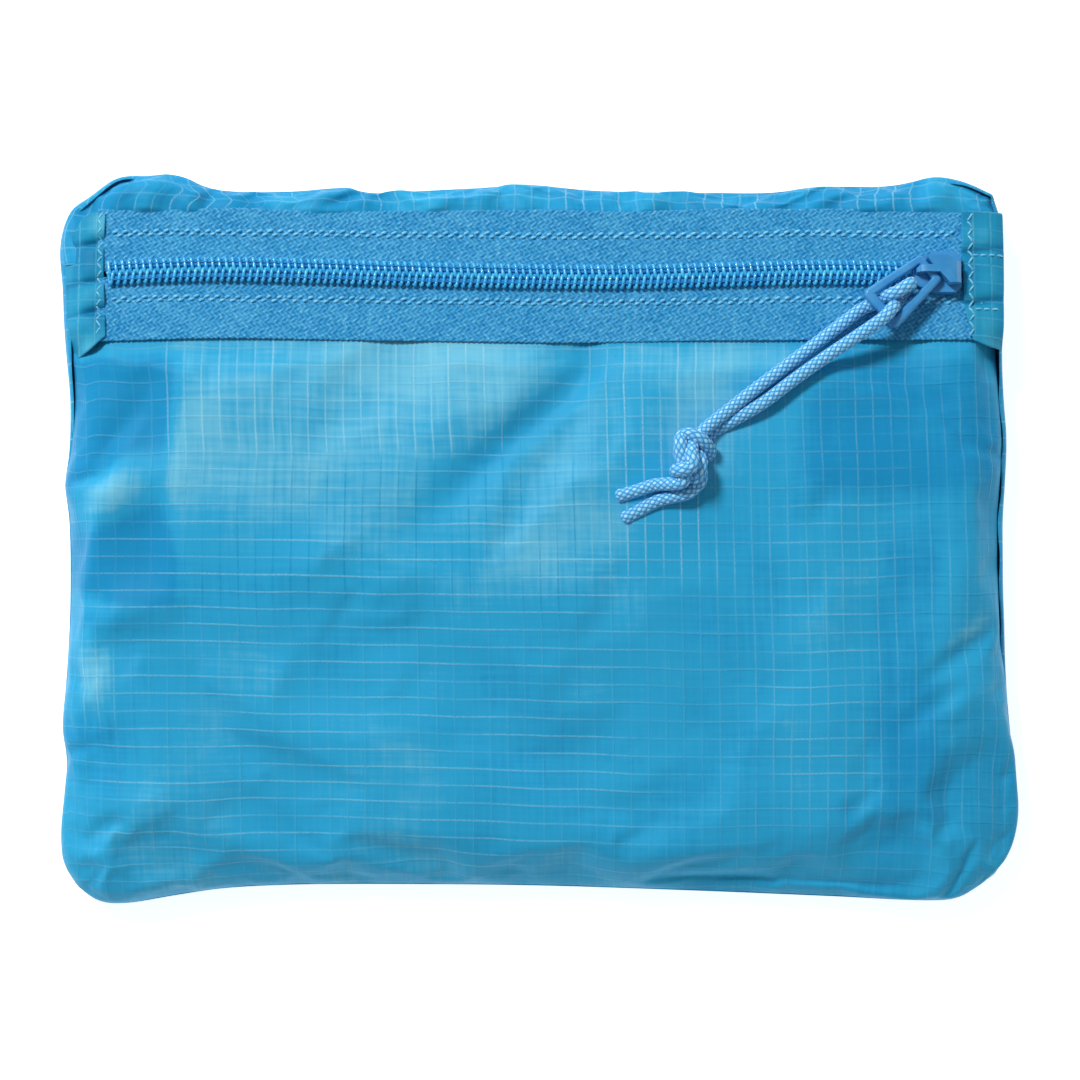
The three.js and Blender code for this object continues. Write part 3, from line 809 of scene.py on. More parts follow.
def settle(o, pins, pressure, grow, frames, cap):
    """Cloth simulation: the sheet is a little too large for its edge (grow), and swells and puckers.
    No point moves more than cap."""
    rest = coordinates(o)
    group = o.vertex_groups.new(name="pins")
    group.add([int(i) for i in pins], 1.0, "REPLACE")
    m = o.modifiers.new("cloth", "CLOTH")
    s = m.settings
    s.quality = 7
    s.mass = 0.12
    s.tension_stiffness = s.compression_stiffness = 12
    s.shear_stiffness = 4
    s.bending_stiffness = 0.6
    s.use_pressure = True
    s.uniform_pressure_force = pressure
    s.vertex_group_mass = "pins"
    s.shrink_min = -grow
    s.effector_weights.gravity = 0
    m.collision_settings.use_collision = False
    m.collision_settings.use_self_collision = False
    m.point_cache.frame_start = 1
    m.point_cache.frame_end = frames
    scene.frame_start, scene.frame_end = 1, frames
    for f in range(1, frames + 1):
        scene.frame_set(f)
    dg = bpy.context.evaluated_depsgraph_get()
    moved = np.array([v.co for v in o.evaluated_get(dg).data.vertices], float)
    o.modifiers.remove(m)
    scene.frame_set(1)
    d = moved - rest
    length = np.linalg.norm(d, axis=1, keepdims=True)
    d = d * np.minimum(1, cap * MM / np.maximum(length, 1e-9))
    move_to(o, rest + d)


def block(x, y, x0, x1, y0, y1, soft, seed):
    """About 1 inside a rectangle whose edges wander and are blurred by soft."""
    x = x + 2.0 * wander(x, y, 36, seed)
    y = y + 2.0 * wander(x, y, 36, seed + 50)
    inside_x = ramp(x, x0 - soft, x0 + soft) * (1 - ramp(x, x1 - soft, x1 + soft))
    return inside_x * ramp(y, y0 - soft, y0 + soft) * (1 - ramp(y, y1 - soft, y1 + soft))


# Painted light and shade of the front: patches made lighter or darker, many of them over the swellings and
# dents of FRONT_SWELLS.
LIGHT_BLOCKS = [
    (-0.1, -90, -52, -18, 9, 8, 6), (0.12, -14, 22, -15, 8, 5, 26), (0.16, -56, -6, 33, 70, 8, 4),
    (-0.1, -30, 0, -2, 16, 8, 5), (0.28, 30, 48, 12, 48, 7, 7), (-0.46, -125, -87, -14, 43, 2.2, 8),
    (-0.24, -125, -99, -60, -43, 4, 9), (0.12, -112, -20, -92, -50, 10, 10),
    (0.06, -90, -60, -60, -15, 10, 11),
    (-0.34, 62, 109, 12, 44, 5, 12), (-0.07, 34, 125, -95, 22, 9, 13), (0.16, 57, 78, -60, 8, 4, 14),
    (-0.16, 79, 93, -84, 4, 4, 15),
]
LIGHT_HUMPS = [
    (-0.42, -9, 22, 19, 4.2, 42), (-0.32, 9, 38, 13, 6, 58), (0.22, 60, 42, 26, 5, -6),
    (0.85, -101, 11, 13, 6.5, 24, 3), (0.2, -97, 42, 8, 3), (0.36, -105, -33, 5, 9, 0, 3),
    (-0.25, -108, -19, 8, 3.4), (0.2, 104, -10, 8, 11), (0.24, 102, -21, 9, 2, 32),
    (0.24, 105, -36, 8, 2, 32),
    (0.2, 22, -50, 6, 0.8, 28), (0.22, 107, 41, 8, 2.5, -52), (0.1, 30, -80, 90, 5),
]
# Regions where the ripstop threads are painted paler (painted glints) or darker (painted shade).
WARP_BLOCKS = [
    (0.42, -90, -8, 20, 70, 5, 21), (0.42, 12, 44, -8, 60, 5, 22), (-0.5, -80, 10, -15, 19, 4, 23),
    (0.11, 44, 120, -70, 50, 10, 24),
]
WEFT_BLOCKS = [
    (0.18, -104, 20, -80, 6, 8, 25), (0.1, -88, 34, -13, 70, 4, 2), (0.18, 56, 80, -64, 10, 4, 14),
    (-0.14, 90, 125, -95, 60, 6, 26),
]


def blocks(x, y, table):
    """A sum of blocks, each (amount, x0, x1, y0, y1, soft, seed)."""
    return sum(amount * block(x, y, *shape) for amount, *shape in table)


def zone_front(x, y):
    """How light the cloth is painted: painted light and shade over the dents, swellings and sheen of the
    front, and lighter where a folded layer lies close under it.
    """
    z = 0.43 + 0.07 * wander(x, y, 50, 21) + 0.05 * wander(x, y, 17, 22)
    fade = (1 - ramp(x + 3 * wander(x, y, 40, 24), 2, 50)) * ramp(y + 3 * wander(x, y, 40, 25), -24, 6)
    z = z + 0.26 * block(x, y, -88, 90, -60, 90, 2.6, 2) * fade
    return z + blocks(x, y, LIGHT_BLOCKS) + humps(x, y, LIGHT_HUMPS)


def warp_front(x, y):
    """How much the upright threads show: paler as painted glints, and darker as painted shade below zero."""
    return 0.05 + blocks(x, y, WARP_BLOCKS) + 0.4 * hump(x, y, -105, -33, 5, 9, 0, 3)


def weft_front(x, y):
    """How much the level threads show: paler as painted glints."""
    return 0.1 + blocks(x, y, WEFT_BLOCKS)


def cloth_looks(o, zone, warp=0.25, weft=0.3):
    count = len(o.data.vertices)
    set_value(o, "zone", np.clip(zone + np.zeros(count), 0, 1))
    set_value(o, "warp", warp + np.zeros(count))
    set_value(o, "weft", weft + np.zeros(count))


def slanted_uv(x, y):
    """Cloth coordinates in mm: the weave runs nearly straight, and waves a little."""
    u = x + 0.5 * wander(x, y, 120, 31) + 0.012 * y
    v = y + 0.6 * wander(x, y, 110, 32) + 0.014 * x * ramp(-y, -10, 30) + 0.15 * wander(x, y, 22, 33)
    return np.stack([u, v], 1)


def with_lengths(x, y, z, columns, start_row):
    """The points of a grid with their cloth coordinates: lengths measured along the cloth, from the
    middle column and from the start row."""
    p = np.stack([x, y, z], 1).reshape(-1, columns, 3)
    u, v = np.zeros(p.shape[:2]), np.zeros(p.shape[:2])
    u[:, 1:] = np.cumsum(np.linalg.norm(np.diff(p, axis=1), axis=2), axis=1)
    v[1:] = np.cumsum(np.linalg.norm(np.diff(p, axis=0), axis=2), axis=0)
    middle = columns // 2
    u = u - u[:, middle:middle + 1] + p[:, middle:middle + 1, 0]
    v = v - v[start_row] + p[start_row, :, 1]
    return np.column_stack([x, y, z, u.ravel(), v.ravel()])


def turned_in(points, faces, loop, closed, steps):
    """Adds rings along a boundary, given anticlockwise seen from above. Each step is how far the
    ring lies inwards of the boundary and how far above it. The points come from with_lengths. Only
    the back's boundary is closed, and the back looks down."""
    edge = points[loop]
    if closed:
        tangent = np.roll(edge, -1, 0) - np.roll(edge, 1, 0)
    else:
        tangent = np.gradient(edge, axis=0)
    tangent = tangent[:, :2] / np.linalg.norm(tangent[:, :2], axis=1, keepdims=True)
    nx, ny = -tangent[:, 1], tangent[:, 0]
    before, all_points, all_faces, start = loop, [points], [faces], len(points)
    reach, last = 0, (0, 0)
    for inwards, lift in steps:
        reach = reach + np.hypot(inwards - last[0], lift - last[1])
        last = inwards, lift
        shift = [nx * inwards, ny * inwards, lift + 0 * nx, -nx * reach, -ny * reach]
        all_points.append(edge + np.stack(shift, 1))
        now = np.arange(len(loop)) + start
        start += len(loop)
        quads = np.stack([before, np.roll(before, -1), np.roll(now, -1), now], 1)
        all_faces.append(quads if closed else quads[:-1, ::-1])
        before = now
    return np.concatenate(all_points), np.concatenate(all_faces)


def shell_panel(name, x, y, z, index, start_row, loop, steps, shift=(0, 0), closed=False):
    """A panel of the pouch with its turned-in edge, and the x and the y of its points."""
    rows, columns = index.shape
    faces = grid_faces(columns - 1, rows - 1)
    faces = faces[:, ::-1] if closed else faces
    points, faces = turned_in(with_lengths(x, y, z, columns, start_row), faces, loop, closed, steps)
    x, y, _, u, v = points.T
    o = mesh_object(name, points[:, :3], faces, slanted_uv(u, v) + shift, shell_cloth)
    return o, x, y


def front_panel():
    columns, rows = 150, 104
    right, left = lower_part(edge_right, FRONT_TOP), lower_part(edge_left, FRONT_TOP)
    right[:, 0] -= side_sliver(*right.T)[0]
    left[:, 0] += side_sliver(*left.T)[1]
    right, left = (eased(thinned(run, 6), rows) for run in (right, left))
    top = level_run(left[-1], right[-1], columns)
    x, y = patch(eased(edge_low, columns), right, top, left)
    z = front_shape(x, y) + front_relief(x, y)
    index = np.arange(len(x)).reshape(rows, columns)
    border = np.concatenate([index[:, 0], index[:, -1], index[0]])
    z[border] = front_rim(x[border], y[border])
    loop = np.concatenate([index[:0:-1, 0], index[0, :-1], index[:, -1]])
    hem = [(0.4, -0.2), (1.6, -0.25)]
    o, x, y = shell_panel("pouch_front_cloth", x, y, z, index, rows // 2, loop, hem)
    cloth_looks(o, zone_front(x, y), warp_front(x, y), weft_front(x, y))
    settle(o, edge_points(index, len(x)), pressure=1.2, grow=0.015, frames=16, cap=2.4)
    over_tote(o)
    under_tape(o)
    add_subdivision(o)
    attach(o, "root", "ripstop_shell", "pouch_front_panel")


def over_tote(o):
    """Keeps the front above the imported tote's top layers."""
    co = coordinates(o)
    x, y = co[:, 0] / MM, co[:, 1] / MM
    over = (1 - ramp(np.abs(x), 88, 95)) * ramp(y, -50, -44) * (1 - ramp(y, 22, 28))
    co[:, 2] = np.maximum(co[:, 2], 15.9 * over * MM)
    move_to(o, co)


def under_tape(o):
    """Keeps the cloth below the zipper tapes where they lie on it."""
    co = coordinates(o)
    y = co[:, 1] / MM
    plane = ZIP_Z - math.tan(LEAN) * (y - ZIP_Y)
    sunk = 0.65 + 0.3 * ramp(y, 50, 53) * (1 - ramp(y, 76, 78))
    slack = 3 * (1 - ramp(y, 38, 47)) + 40 * (1 - ramp(y, 30, 40)) + 30 * ramp(y, 78.5, 81)
    limit = plane - sunk + slack
    co[:, 2] = np.minimum(co[:, 2], limit * MM)
    move_to(o, co)


front_panel()


def side_lip(x, y):
    """How far the back's edge rises beside the front and under the end tabs, and how far it leans in."""
    under_tab = ZIP_Z - math.tan(LEAN) * (y - ZIP_Y) - SEAM
    left = ramp(-x, 90, 105) * ramp(y, 32, 47) * (1 - ramp(y, 79, 86))
    right = ramp(x, 90, 105) * ramp(y, 40, 48) * (1 - ramp(y, 78, 84))
    beside = sum(side_sliver(x, y)) * (1 - left) * (1 - right)
    rise = 0.15 + (under_tab - 3.5) * left + (under_tab - 1.3) * right + 3.0 * beside
    lean = 1.3 + 0.9 * left + 0.2 * right + 0.1 * beside + 0.3 * wander(x, y, 16, 43) * (left + beside)
    return rise, lean


def back_panel():
    """The back, whose edge turns up past the seam and shows beside the front at the sides."""
    columns, rows = 90, 70
    low, top = eased(edge_low, columns, 0.6), eased(edge_top, columns, 0.6)
    right, left = eased(edge_right, rows, 0.6), eased(edge_left, rows, 0.6)
    x, y = patch(low, right, top, left)
    d = inset(x, y)
    z = (SEAM - 0.1) * (1 - rolled(d, 11)) + ramp(d, 2, 10) * np.abs(0.5 * wander(x, y, 60, 41))
    index = np.arange(len(x)).reshape(rows, columns)
    z[index[:, 0]] = z[index[:, -1]] = z[index[0]] = z[index[-1]] = SEAM - 0.1
    loop = np.concatenate([index[0, :-1], index[:-1, -1], index[-1, :0:-1], index[:0:-1, 0]])
    rise, lean = side_lip(x[loop], y[loop])
    turns = np.linspace(0, math.pi / 2, 6)[1:]
    steps = [(lean * (1 - math.cos(a)) - 0.1 * math.sin(2 * a), rise * math.sin(a)) for a in turns]
    o, x, y = shell_panel("pouch_back_cloth", x, y, z, index, rows // 2, loop, steps, (1.5, 0.8), True)
    zone = 0.36 + 0.14 * wander(x, y, 50, 42) + 0.1 * wander(x, y, 18, 44)
    # The turned-up edge is painted darker: painted shade on the lip beside the seam.
    zone = zone - 0.16 * (np.arange(len(x)) >= index.size)
    cloth_looks(o, zone, 0.2 + 0.15 * wander(x, y, 60, 45), 0.3 + 0.15 * wander(x, y, 60, 46))
    add_thickness(o, BACK_THICK)
    add_subdivision(o)
    attach(o, "root", "ripstop_shell", "pouch_back_panel")


back_panel()


BAND_FOLDS = [
    (2.4, -94, 82, 13, 6), (2.0, 95, 82, 10, 6), (1.0, -60, 82, 12, 4), (1.2, -26, 82, 12, 4),
    (1.0, 30, 82, 16, 4), (-2.6, -44, 83, 7, 1.2, 24), (1.4, -50, 84, 6, 1.5, 14),
    (-2.2, -4, 84.5, 6, 1.1, -18), (1.0, -1, 86, 5, 1.0, -10), (-2.3, 68, 84, 7, 1.2, 28),
    (1.0, 72, 83, 6, 1.4, 28), (-1.6, -79, 84, 2.2, 5, -20), (-1.8, -110, 80, 3, 4, 40),
]


def band_relief(x, y):
    z = 0.9 * wander(x, y, 26, 51) + 0.6 * wander(x, y * 0.4, 11, 52) + humps(x, y, BAND_FOLDS)
    return z * ramp(inset(x, y), 0, 3.5)


def top_band():
    columns, rows = 170, 30
    runs = upper_part(edge_right, BAND_LOW), upper_part(edge_left, BAND_LOW)
    right, left = (eased(thinned(run, 4), rows, 0.2) for run in runs)
    x, y = patch(level_run(left[0], right[0], columns), right, eased(edge_top, columns, 0.2), left)
    z = SEAM + 0.05 + (crown(y) - SEAM) * rolled(inset(x, y), 7) + band_relief(x, y)
    index = np.arange(len(x)).reshape(rows, columns)
    z[index[:, 0]] = z[index[:, -1]] = z[index[-1]] = SEAM + 0.05
    loop = np.concatenate([index[:, -1], index[-1, -2:0:-1], index[::-1, 0]])
    hem = [(0.4, -0.2), (1.4, -0.25)]
    o, x, y = shell_panel("pouch_band_cloth", x, y, z, index, 0, loop, hem, (0.9, 1.7))
    # The band is painted darker than the front and over the left corner; painted shade in the tucked creases
    # at x -43 and 69.
    zone = 0.2 + 0.22 * wander(x, y * 0.5, 20, 53) - 0.14 * hump(x, y, -97, 84, 18, 8)
    zone = zone - 0.4 * hump(x, y, -43, 82.5, 6, 1.6, 24) - 0.3 * hump(x, y, 69, 83, 6, 1.6, 28)
    cloth_looks(o, zone, 0.3 + 0.25 * wander(x, y, 24, 54), 0.22)
    settle(o, edge_points(index, len(x)), pressure=0.8, grow=0.035, frames=14, cap=1.4)
    under_tape(o)
    add_subdivision(o)
    attach(o, "root", "ripstop_shell", "pouch_top_band")


top_band()

# ---- The zipper ----

BOW_X = [-108, -92, -77, -55, -34, -8, 19, 45, 66, 80, 88, 110]
BOW_Y = [-0.1, 0.75, 1.1, 0.7, 0.05, -0.55, -0.75, -0.15, 0.35, 0.25, 0, 0]


def bow(x):
    """How far the chain strays sideways from its line."""
    fine = spline(list(zip(BOW_X, BOW_Y)), step=1.0)
    return np.interp(x, fine[:, 0], fine[:, 1])


def stitch_line(x, side):
    base = -6.3 if side < 0 else 9.9
    return base + 0.55 * bow(x) + 0.18 * wander(x, 0 * x, 24, 61 + side)


def tape_height(x, y, side):
    """The tape's upper face: it puckers along its stitches and lifts a little between them."""
    pucker = 0.16 * np.sin(2 * math.pi * x / 4.4) * np.exp(-((y - stitch_line(x, side)) / 1.6) ** 2)
    broad = 0.22 * wander(x, y, 38, 63 + side) * ramp(np.abs(y), 3, 8)
    sink = -0.22 * np.exp(-((y - stitch_line(x, side)) / 0.9) ** 2)
    return pucker + broad + sink


def make_tape(side, part):
    columns, rows = 420, 26
    x = np.linspace(-106, 106, columns + 1)
    t = np.linspace(0, 1, rows + 1)
    t = (t + (1 - np.cos(math.pi * t)) / 2) / 2
    grid_x, grid_t = np.meshgrid(x, t)
    wave = 0.6 * wander(x, 0 * x, 46, 72) if side > 0 else 0.3 * wander(x, 0 * x, 70, 70)
    wave = wave + 0.16 * np.sin(2 * math.pi * x / 1.25)
    outer = (15.9 if side > 0 else 16.0) + side * 0.25 * bow(x) + wave
    near = 0.7 + side * bow(x)
    y = side * (near + (outer - near) * grid_t)
    z = tape_height(grid_x, y, side) - 0.12 * ramp(grid_t, 0.97, 1)
    z = z + ramp(grid_t, 0.94, 1) * (0.09 + 0.09 * np.sin(2 * math.pi * grid_x / 1.25 + 1.0))
    points = in_zip_plane(grid_x.ravel(), y.ravel(), z.ravel())
    faces = grid_faces(columns, rows)
    if side < 0:
        faces = faces[:, ::-1]
    uv = np.stack([grid_x.ravel(), y.ravel()], 1)
    o = mesh_object("tape_" + part, points, faces, uv, tape_cloth)
    add_thickness(o, TAPE_THICK)
    attach(o, "root", "zipper_tape", "zipper_tape_" + part)


def parting(x):
    """The coils part over the slider's divider at the closed end."""
    return 0.55 * ramp(x, 94.5, 97.5)


def make_coil(side, part):
    first, last = -103.4, 100.3
    turns = (last - first) / COIL_PITCH
    theta = np.linspace(0, 2 * math.pi * turns, int(turns * 16))
    phase = 0.0 if side > 0 else 0.5
    x = first + COIL_PITCH * theta / (2 * math.pi)
    spin = theta + 2 * math.pi * phase
    across = np.cos(spin)
    high = np.sin(spin)
    across = np.sign(across) * np.abs(across) ** 0.8
    y = 1.25 + 1.48 * across
    z = 0.9 + 0.55 * np.sign(high) * np.abs(high) ** 0.85
    z = z - 0.26 * np.clip(high, 0, 1) * np.exp(-((y - 1.75) / 0.35) ** 2)
    swell = 1 + 0.2 * np.clip(-across, 0, 1)
    y = side * (y + parting(x)) + bow(x)
    coil = in_zip_plane(x, y, z)
    core_x = np.linspace(first + 0.5, last - 0.5, 160)
    core = in_zip_plane(core_x, side * (1.3 + parting(core_x)) + bow(core_x), 0.8)
    sewn_x = np.arange(first + 0.5, last - 0.5, COIL_PITCH / 8)
    sewn_z = 1.42 + 0.12 * np.cos(2 * math.pi * ((sewn_x - first) / COIL_PITCH + phase - 0.25))
    sewn = in_zip_plane(sewn_x, side * (1.78 + parting(sewn_x)) + bow(sewn_x), sewn_z)
    name = "coil_" + part
    wire = tubes_object(name, [(coil, WIRE * swell, 8, None)], coil_nylon)
    inner = tubes_object(name + "_core", [(core, CORE, 8, None), (sewn, SEWN, 6, None)], core_cord)
    attach(wire, "root", "zipper_coil", "zipper_" + name)
    attach(inner, "root", "zipper_coil")


def twisted(angle, length):
    return 1 + 0.07 * np.sin(3 * angle + length * 9)


def stitches(name, node_name, rows, material, thread):
    """Separate stitches of thread: each (start, end, lift) in the zipper's frame, arched over the
    cloth. thread is its radius."""
    tubes = []
    for (x0, y0, z0), (x1, y1, z1), lift in rows:
        t = np.linspace(0, 1, 7)
        arch = lift * np.sin(math.pi * t) ** 0.6 - 0.22 * (np.cos(math.pi * t) ** 4)
        path = in_zip_plane(x0 + (x1 - x0) * t, y0 + (y1 - y0) * t, z0 + (z1 - z0) * t + arch)
        tubes.append((path, thread, 8, twisted))
    attach(tubes_object(name, tubes, material), "root", "sewing_thread", node_name)


def on_surface(height, x, y, side):
    return x, y, float(height(np.array(x), np.array(y), side))


def row_stitches(side):
    """A row of short stitches that fall to one side and the other in turn."""
    rng = np.random.default_rng(81 + side)
    rows = []
    x, hand = -102.5, 1
    while x < 98.5:
        length = 1.0 + rng.uniform(-0.1, 0.1)
        middle = 0.42 * hand + rng.uniform(-0.07, 0.07)
        ends = []
        for px, off in ((x, middle - 0.2), (x + length, middle + 0.2)):
            y = float(stitch_line(np.array(px), side)) + off
            ends.append(on_surface(tape_height, px, y, side))
        rows.append((*ends, 0.34 + rng.uniform(-0.04, 0.04)))
        x += 1.24
        hand = -hand
    return rows


HALVES = [(-1, "lower"), (1, "upper")]
for side, part in HALVES:
    make_tape(side, part)
for side, part in HALVES:
    make_coil(side, part)
for side, part in HALVES:
    stitches("stitches_" + part, "topstitch_" + part, row_stitches(side), thread_yarn, ROW_THREAD)

# ---- The end tabs ----

TAB_CREASES = {-1: [(7.4, 1.5), (-1.8, 1.2), (-9.3, 1.5)], 1: [(6.0, 0.8), (-6.5, 1.2)]}


def tab_profile(x, side):
    if side < 0:
        return np.interp(x, [-114.3, -112, -109.5, -107, -103.5], [-3.8, -1.6, 0.1, 0.65, 0.65])
    return np.interp(x, [100.5, 104, 107, 109.5, 111, 112.4], [1.1, 1.2, 1.05, 0.4, -0.5, -2.0])


def tab_height(x, y, side):
    z = tab_profile(x, side)
    flat = 1 - 0.75 * ramp(np.abs(x), 107, 111.5)
    for crease_y, depth in TAB_CREASES[side]:
        off = y - crease_y - 0.12 * (x - side * 108)
        z = z - flat * depth * np.exp(-np.abs(off / 0.9) ** 1.5)
        z = z + 0.3 * flat * np.exp(-((off - 3.2) / 2.4) ** 2)
    low_corner = ramp(-y, 12, 19) * ramp(np.abs(x), 105, 112)
    return z + 0.12 * wander(x, y, 9, 91 + side) - 3.3 * low_corner


def make_tab(side, word, low, right, top, left):
    columns, rows = 30, 90
    runs = [(low, columns), (right, rows), (top, columns), (left, rows)]
    x, y = patch(*(spline(run, count=count) for run, count in runs))
    y = y - ZIP_Y
    points = in_zip_plane(x, y, tab_height(x, y, side))
    uv = np.stack([x + 1.2, 0.97 * y + 0.06 * x], 1)
    o = mesh_object("tab_" + word, points, grid_faces(columns - 1, rows - 1), uv, tab_cloth)
    zone = 0.45 + 0.3 * wander(x, y, 12, 95 + side)
    # Painted shade: darker along each crease.
    for crease_y, _ in TAB_CREASES[side]:
        zone = zone - 0.45 * np.exp(-np.abs((y - crease_y - 0.12 * (x - side * 108)) / 1.1) ** 1.5)
    cloth_looks(o, zone, 0.25, 0.2)
    add_thickness(o, TAB_THICK)
    add_subdivision(o)
    attach(o, "root", "ripstop_shell", "end_tab_" + word)


make_tab(
    -1, "left",
    [[-111.8, 43.4], [-107.5, 45.4], [-103.6, 48.4]],
    [[-103.6, 48.4], [-103.9, 56], [-104.4, 66], [-104.2, 78.4]],
    [[-110.2, 77], [-107.5, 78.6], [-104.2, 78.4]],
    [[-111.8, 43.4], [-113.2, 50], [-114, 58], [-114.1, 66], [-113.2, 72], [-110.2, 77]],
)
make_tab(
    1, "right",
    [[103.2, 47.4], [107, 46], [110.8, 45.6]],
    [[110.8, 45.6], [111.1, 56], [111.4, 68], [111.3, 78.7]],
    [[101, 78.9], [106, 79], [111.3, 78.7]],
    [[103.2, 47.4], [101.6, 54], [101, 64], [101, 78.9]],
)


def zigzag_stitches(side, x0, y_from, y_to):
    rng = np.random.default_rng(99 + side)
    rows = []
    y = y_from
    flip = 1
    while y < y_to:
        a = (x0 - 0.55 * flip, y)
        b = (x0 + 0.55 * flip, y + 1.5 + rng.uniform(-0.1, 0.1))
        rows.append((*(on_surface(tab_height, *end, side) for end in (a, b)), 0.2 if side > 0 else 0.06))
        y += 1.75
        flip = -flip
    return rows


def cross_stitches(side, y0, x_from, x_to):
    rows = []
    x = x_from
    while x < x_to:
        rows.append((*(on_surface(tab_height, px, y0, side) for px in (x, x + 1.3)), 0.26))
        x += 2.0
    return rows


left_rows = zigzag_stitches(-1, -105.4, -14.5, 14)
right_rows = zigzag_stitches(1, 103.0, -15, 14.2)
right_rows += cross_stitches(1, 4.6, 103.5, 110) + cross_stitches(1, -8.6, 104, 110)
stitches("tab_stitches_left", "tab_stitch_left", left_rows, tab_yarn, TAB_THREADS[0])
stitches("tab_stitches_right", "tab_stitch_right", right_rows, tab_yarn, TAB_THREADS[1])

# ---- The slider, its lock and the puller ----


def softened(node_name, name, body, material, width, slot_name, grow=0.0):
    """The CAD node's own shape with its sharp edges rounded over. grow thickens it, away from the
    puller's hinge."""
    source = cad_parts[node_name]
    o = linked_object(name, source.data.copy())
    o.data.name = name
    bm = bmesh.new()
    bm.from_mesh(o.data)
    bmesh.ops.remove_doubles(bm, verts=bm.verts, dist=1e-6)
    bmesh.ops.dissolve_limit(bm, angle_limit=math.radians(2), verts=bm.verts, edges=bm.edges)
    bm.normal_update()
    steps = []
    for v in bm.verts:
        away = (np.array(v.co) / MM - PULLER) @ ALONG
        steps.append(v.normal * v.calc_shell_factor() * grow * MM * float(ramp(away, 2.5, 6.0)))
    for v, step in zip(bm.verts, steps):
        v.co += step
    bm.to_mesh(o.data)
    bm.free()
    m = o.modifiers.new("rounding", "BEVEL")
    m.width = width * MM
    m.segments = 3
    m.limit_method = "ANGLE"
    m.angle_limit = math.radians(28)
    shade_smooth(o.data)
    o.modifiers.new("normals", "WEIGHTED_NORMAL")
    o.data.materials.clear()
    o.data.materials.append(material)
    attach(o, body, slot_name, node_name)


softened("slider_body", "slider_plates", "slider", slider_paint, 0.22, "painted_slider")
softened("slider_cap", "slider_hood", "slider", slider_paint, 0.42, "painted_slider")
softened("puller_frame", "puller_ring", "puller", slider_paint, 0.3, "painted_slider", 0.3)
softened("lock_pawl", "pawl_spring", "lock_pawl", pawl_steel, 0.08, "spring_steel")

# ---- The folded tote inside ----


def folded_sheet(name, node_name, layers, along_x, material, slot_name):
    """A strip of cloth folded to and fro in its node's box, with round folds."""
    low, high = (np.array(c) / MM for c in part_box(node_name))
    a_axis, b_axis = (0, 1) if along_x else (1, 0)
    a0, a1, b0, b1 = low[a_axis], high[a_axis], low[b_axis], high[b_axis]
    gap = (high[2] - low[2]) / layers
    path = []
    for k in range(layers):
        z = low[2] + gap * (k + 0.5)
        run = np.linspace(a0 + gap, a1 - gap, 60)
        run = run if k % 2 == 0 else run[::-1]
        path += [[a, z] for a in run]
        if k < layers - 1:
            end = run[-1]
            sign = 1 if k % 2 == 0 else -1
            for t in np.linspace(0, math.pi, 9)[1:-1]:
                path.append([end + sign * gap * 0.6 * math.sin(t), z + gap * (1 - math.cos(t)) / 2])
    path = np.array(path)
    across = np.linspace(b0 + 0.4, b1 - 0.4, 30)
    along = lengths_along(path)
    a, b = np.meshgrid(path[:, 0], across)
    z = path[:, 1] + 0.18 * gap * wander(a, b, 40, 7)
    uv = np.stack([np.tile(along, len(across)), b.ravel()], 1)
    points = np.stack([a, b, z] if along_x else [b, a, z], -1).reshape(-1, 3)
    faces = grid_faces(len(path) - 1, len(across) - 1)
    o = mesh_object(name, points, faces if along_x else faces[:, ::-1], uv, material)
    cloth_looks(o, 0.4 + 0.2 * wander(points[:, 0], points[:, 1], 60, 47))
    attach(o, "root", slot_name, node_name)


folded_sheet("tote_back_cloth", "tote_back_panel", 4, True, tote_cloth, "ripstop_tote")
folded_sheet("tote_front_cloth", "tote_front_panel", 4, False, tote_cloth, "ripstop_tote")
folded_sheet("tote_gusset_cloth", "tote_base_gusset", 1, True, tote_cloth, "ripstop_tote")
folded_sheet("tote_hem_front_tape", "tote_hem_front", 1, True, binding_cloth, "binding_tape")
folded_sheet("tote_hem_back_tape", "tote_hem_back", 1, True, binding_cloth, "binding_tape")
folded_sheet("tote_strap_back_web", "tote_strap_back", 3, True, webbing_cloth, "strap_webbing")
folded_sheet("tote_strap_front_web", "tote_strap_front", 3, True, webbing_cloth, "strap_webbing")


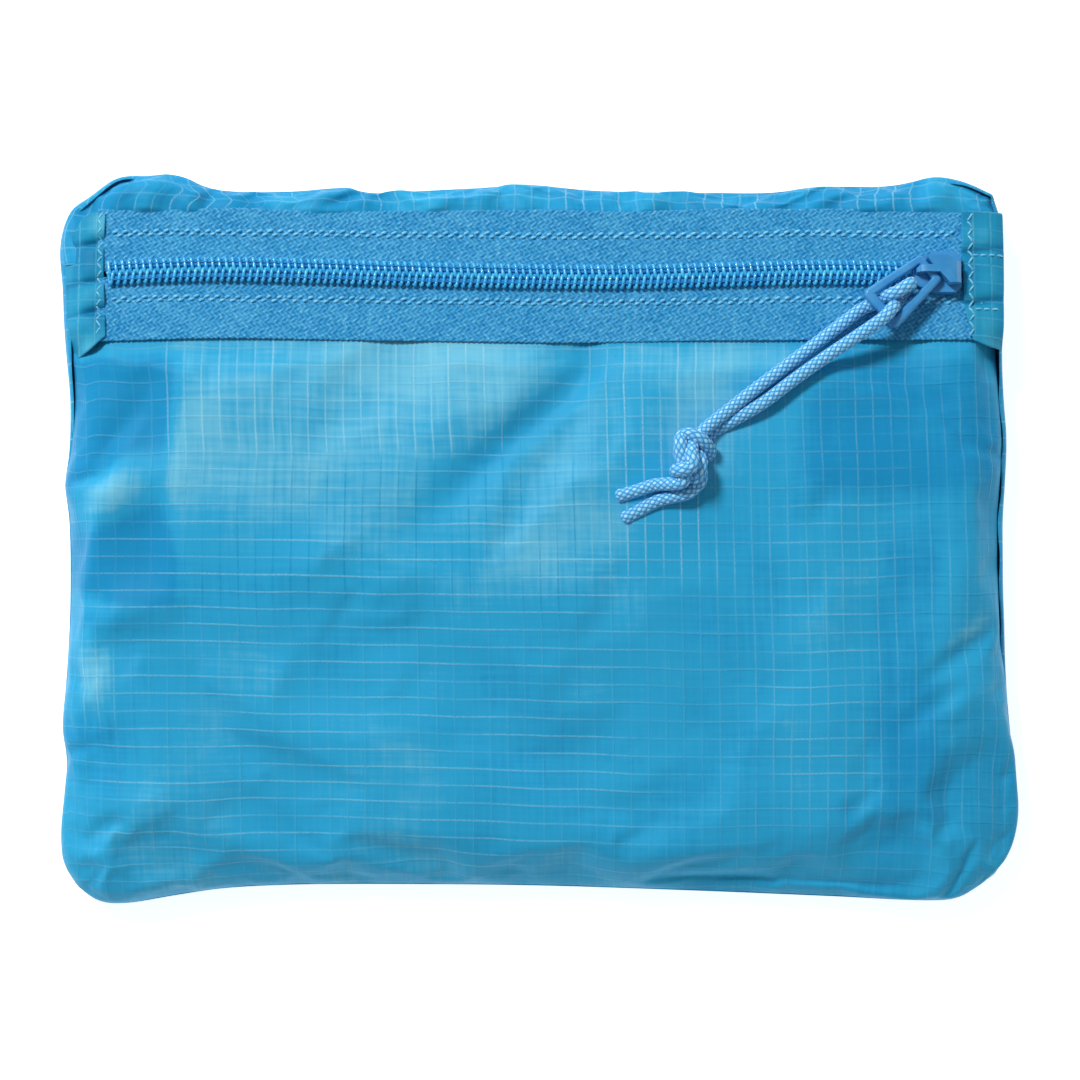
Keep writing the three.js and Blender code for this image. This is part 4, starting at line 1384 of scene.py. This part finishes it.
def seam_tape(side, word):
    """Binding folded round the raw edges inside a side seam."""
    low, high = (np.array(c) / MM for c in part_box("seam_binding_" + word))
    half = (high[2] - low[2]) / 2 - 0.15
    middle = (high[2] + low[2]) / 2
    near, far = (low[0], high[0]) if side > 0 else (high[0], low[0])
    t = np.linspace(-1, 1, 17)
    reach = np.clip(1.25 * np.sqrt(1 - t * t), 0, 1)
    z = middle + half * np.clip(t * 1.6, -1, 1)
    y = np.linspace(low[1] + 0.4, high[1] - 0.4, 110)
    edge = spline(edge_right if side > 0 else edge_left, step=1.0)
    outer = np.interp(y, edge[:, 1], edge[:, 0]) - side * 2.6
    outer = side * np.minimum(side * outer, side * far)
    reach, gy = np.meshgrid(reach, y)
    gx = outer[:, None] + (near + side * 0.4 - outer[:, None]) * reach
    gz = z + 0.08 * np.sin(gy * 2.6)
    points = np.stack([gx, gy, gz], -1).reshape(-1, 3)
    uv = np.stack([gy.ravel(), np.tile(np.arange(len(t)) * 0.9, len(y))], 1)
    o = mesh_object("seam_tape_" + word, points, grid_faces(len(t) - 1, len(y) - 1), uv, binding_cloth)
    attach(o, "root", "binding_tape", "seam_binding_" + word)


seam_tape(-1, "left")
seam_tape(1, "right")

# ---- Studio ----


def make_floor():
    """A pale floor that sweeps up far away, so that low views see no horizon."""
    m, tree, shader = new_material("studio_floor", Roughness=0.9, Specular_IOR_Level=0.1)
    tone = own_place(tree).noise(3.0).between(0.3, 0.7)
    put(tree, shader.inputs["Base Color"], tone.mix((0.9, 0.9, 0.9, 1), (0.92, 0.92, 0.92, 1)))
    shader.inputs["Emission Color"].default_value = (1, 1, 1, 1)
    shader.inputs["Emission Strength"].default_value = 0.72
    angle = np.arange(65) * 2 * math.pi / 64
    radius = np.array([0.001, 3000, 3400, 3800, 4200, 4600, 5000])
    rise = np.maximum(radius - 3000, 0) ** 2 / 4000 - 0.4
    points = np.array([[r * math.cos(a), r * math.sin(a), z] for r, z in zip(radius, rise) for a in angle])
    mesh_object("studio_floor", points, grid_faces(64, 6)[:, ::-1], points[:, :2], m)


def area_light(name, place_m, size_m, power):
    data = bpy.data.lights.new(name, "AREA")
    data.shape = "DISK"
    data.size = size_m
    data.energy = power
    o = linked_object(name, data)
    o.location = place_m
    o.rotation_euler = (-Vector(place_m)).to_track_quat("-Z", "Y").to_euler()


def make_studio():
    make_floor()
    area_light("key", (-0.75, 1.0, 1.35), 0.38, 30)
    area_light("fill", (0.5, -0.35, 0.9), 0.8, 0.45)
    world = bpy.data.worlds.new("studio")
    world.use_nodes = True
    background = world.node_tree.nodes["Background"]
    background.inputs[0].default_value = (1, 1, 1, 1)
    background.inputs[1].default_value = 0.27
    scene.world = world
    scene.view_settings.view_transform = "Standard"


make_studio()
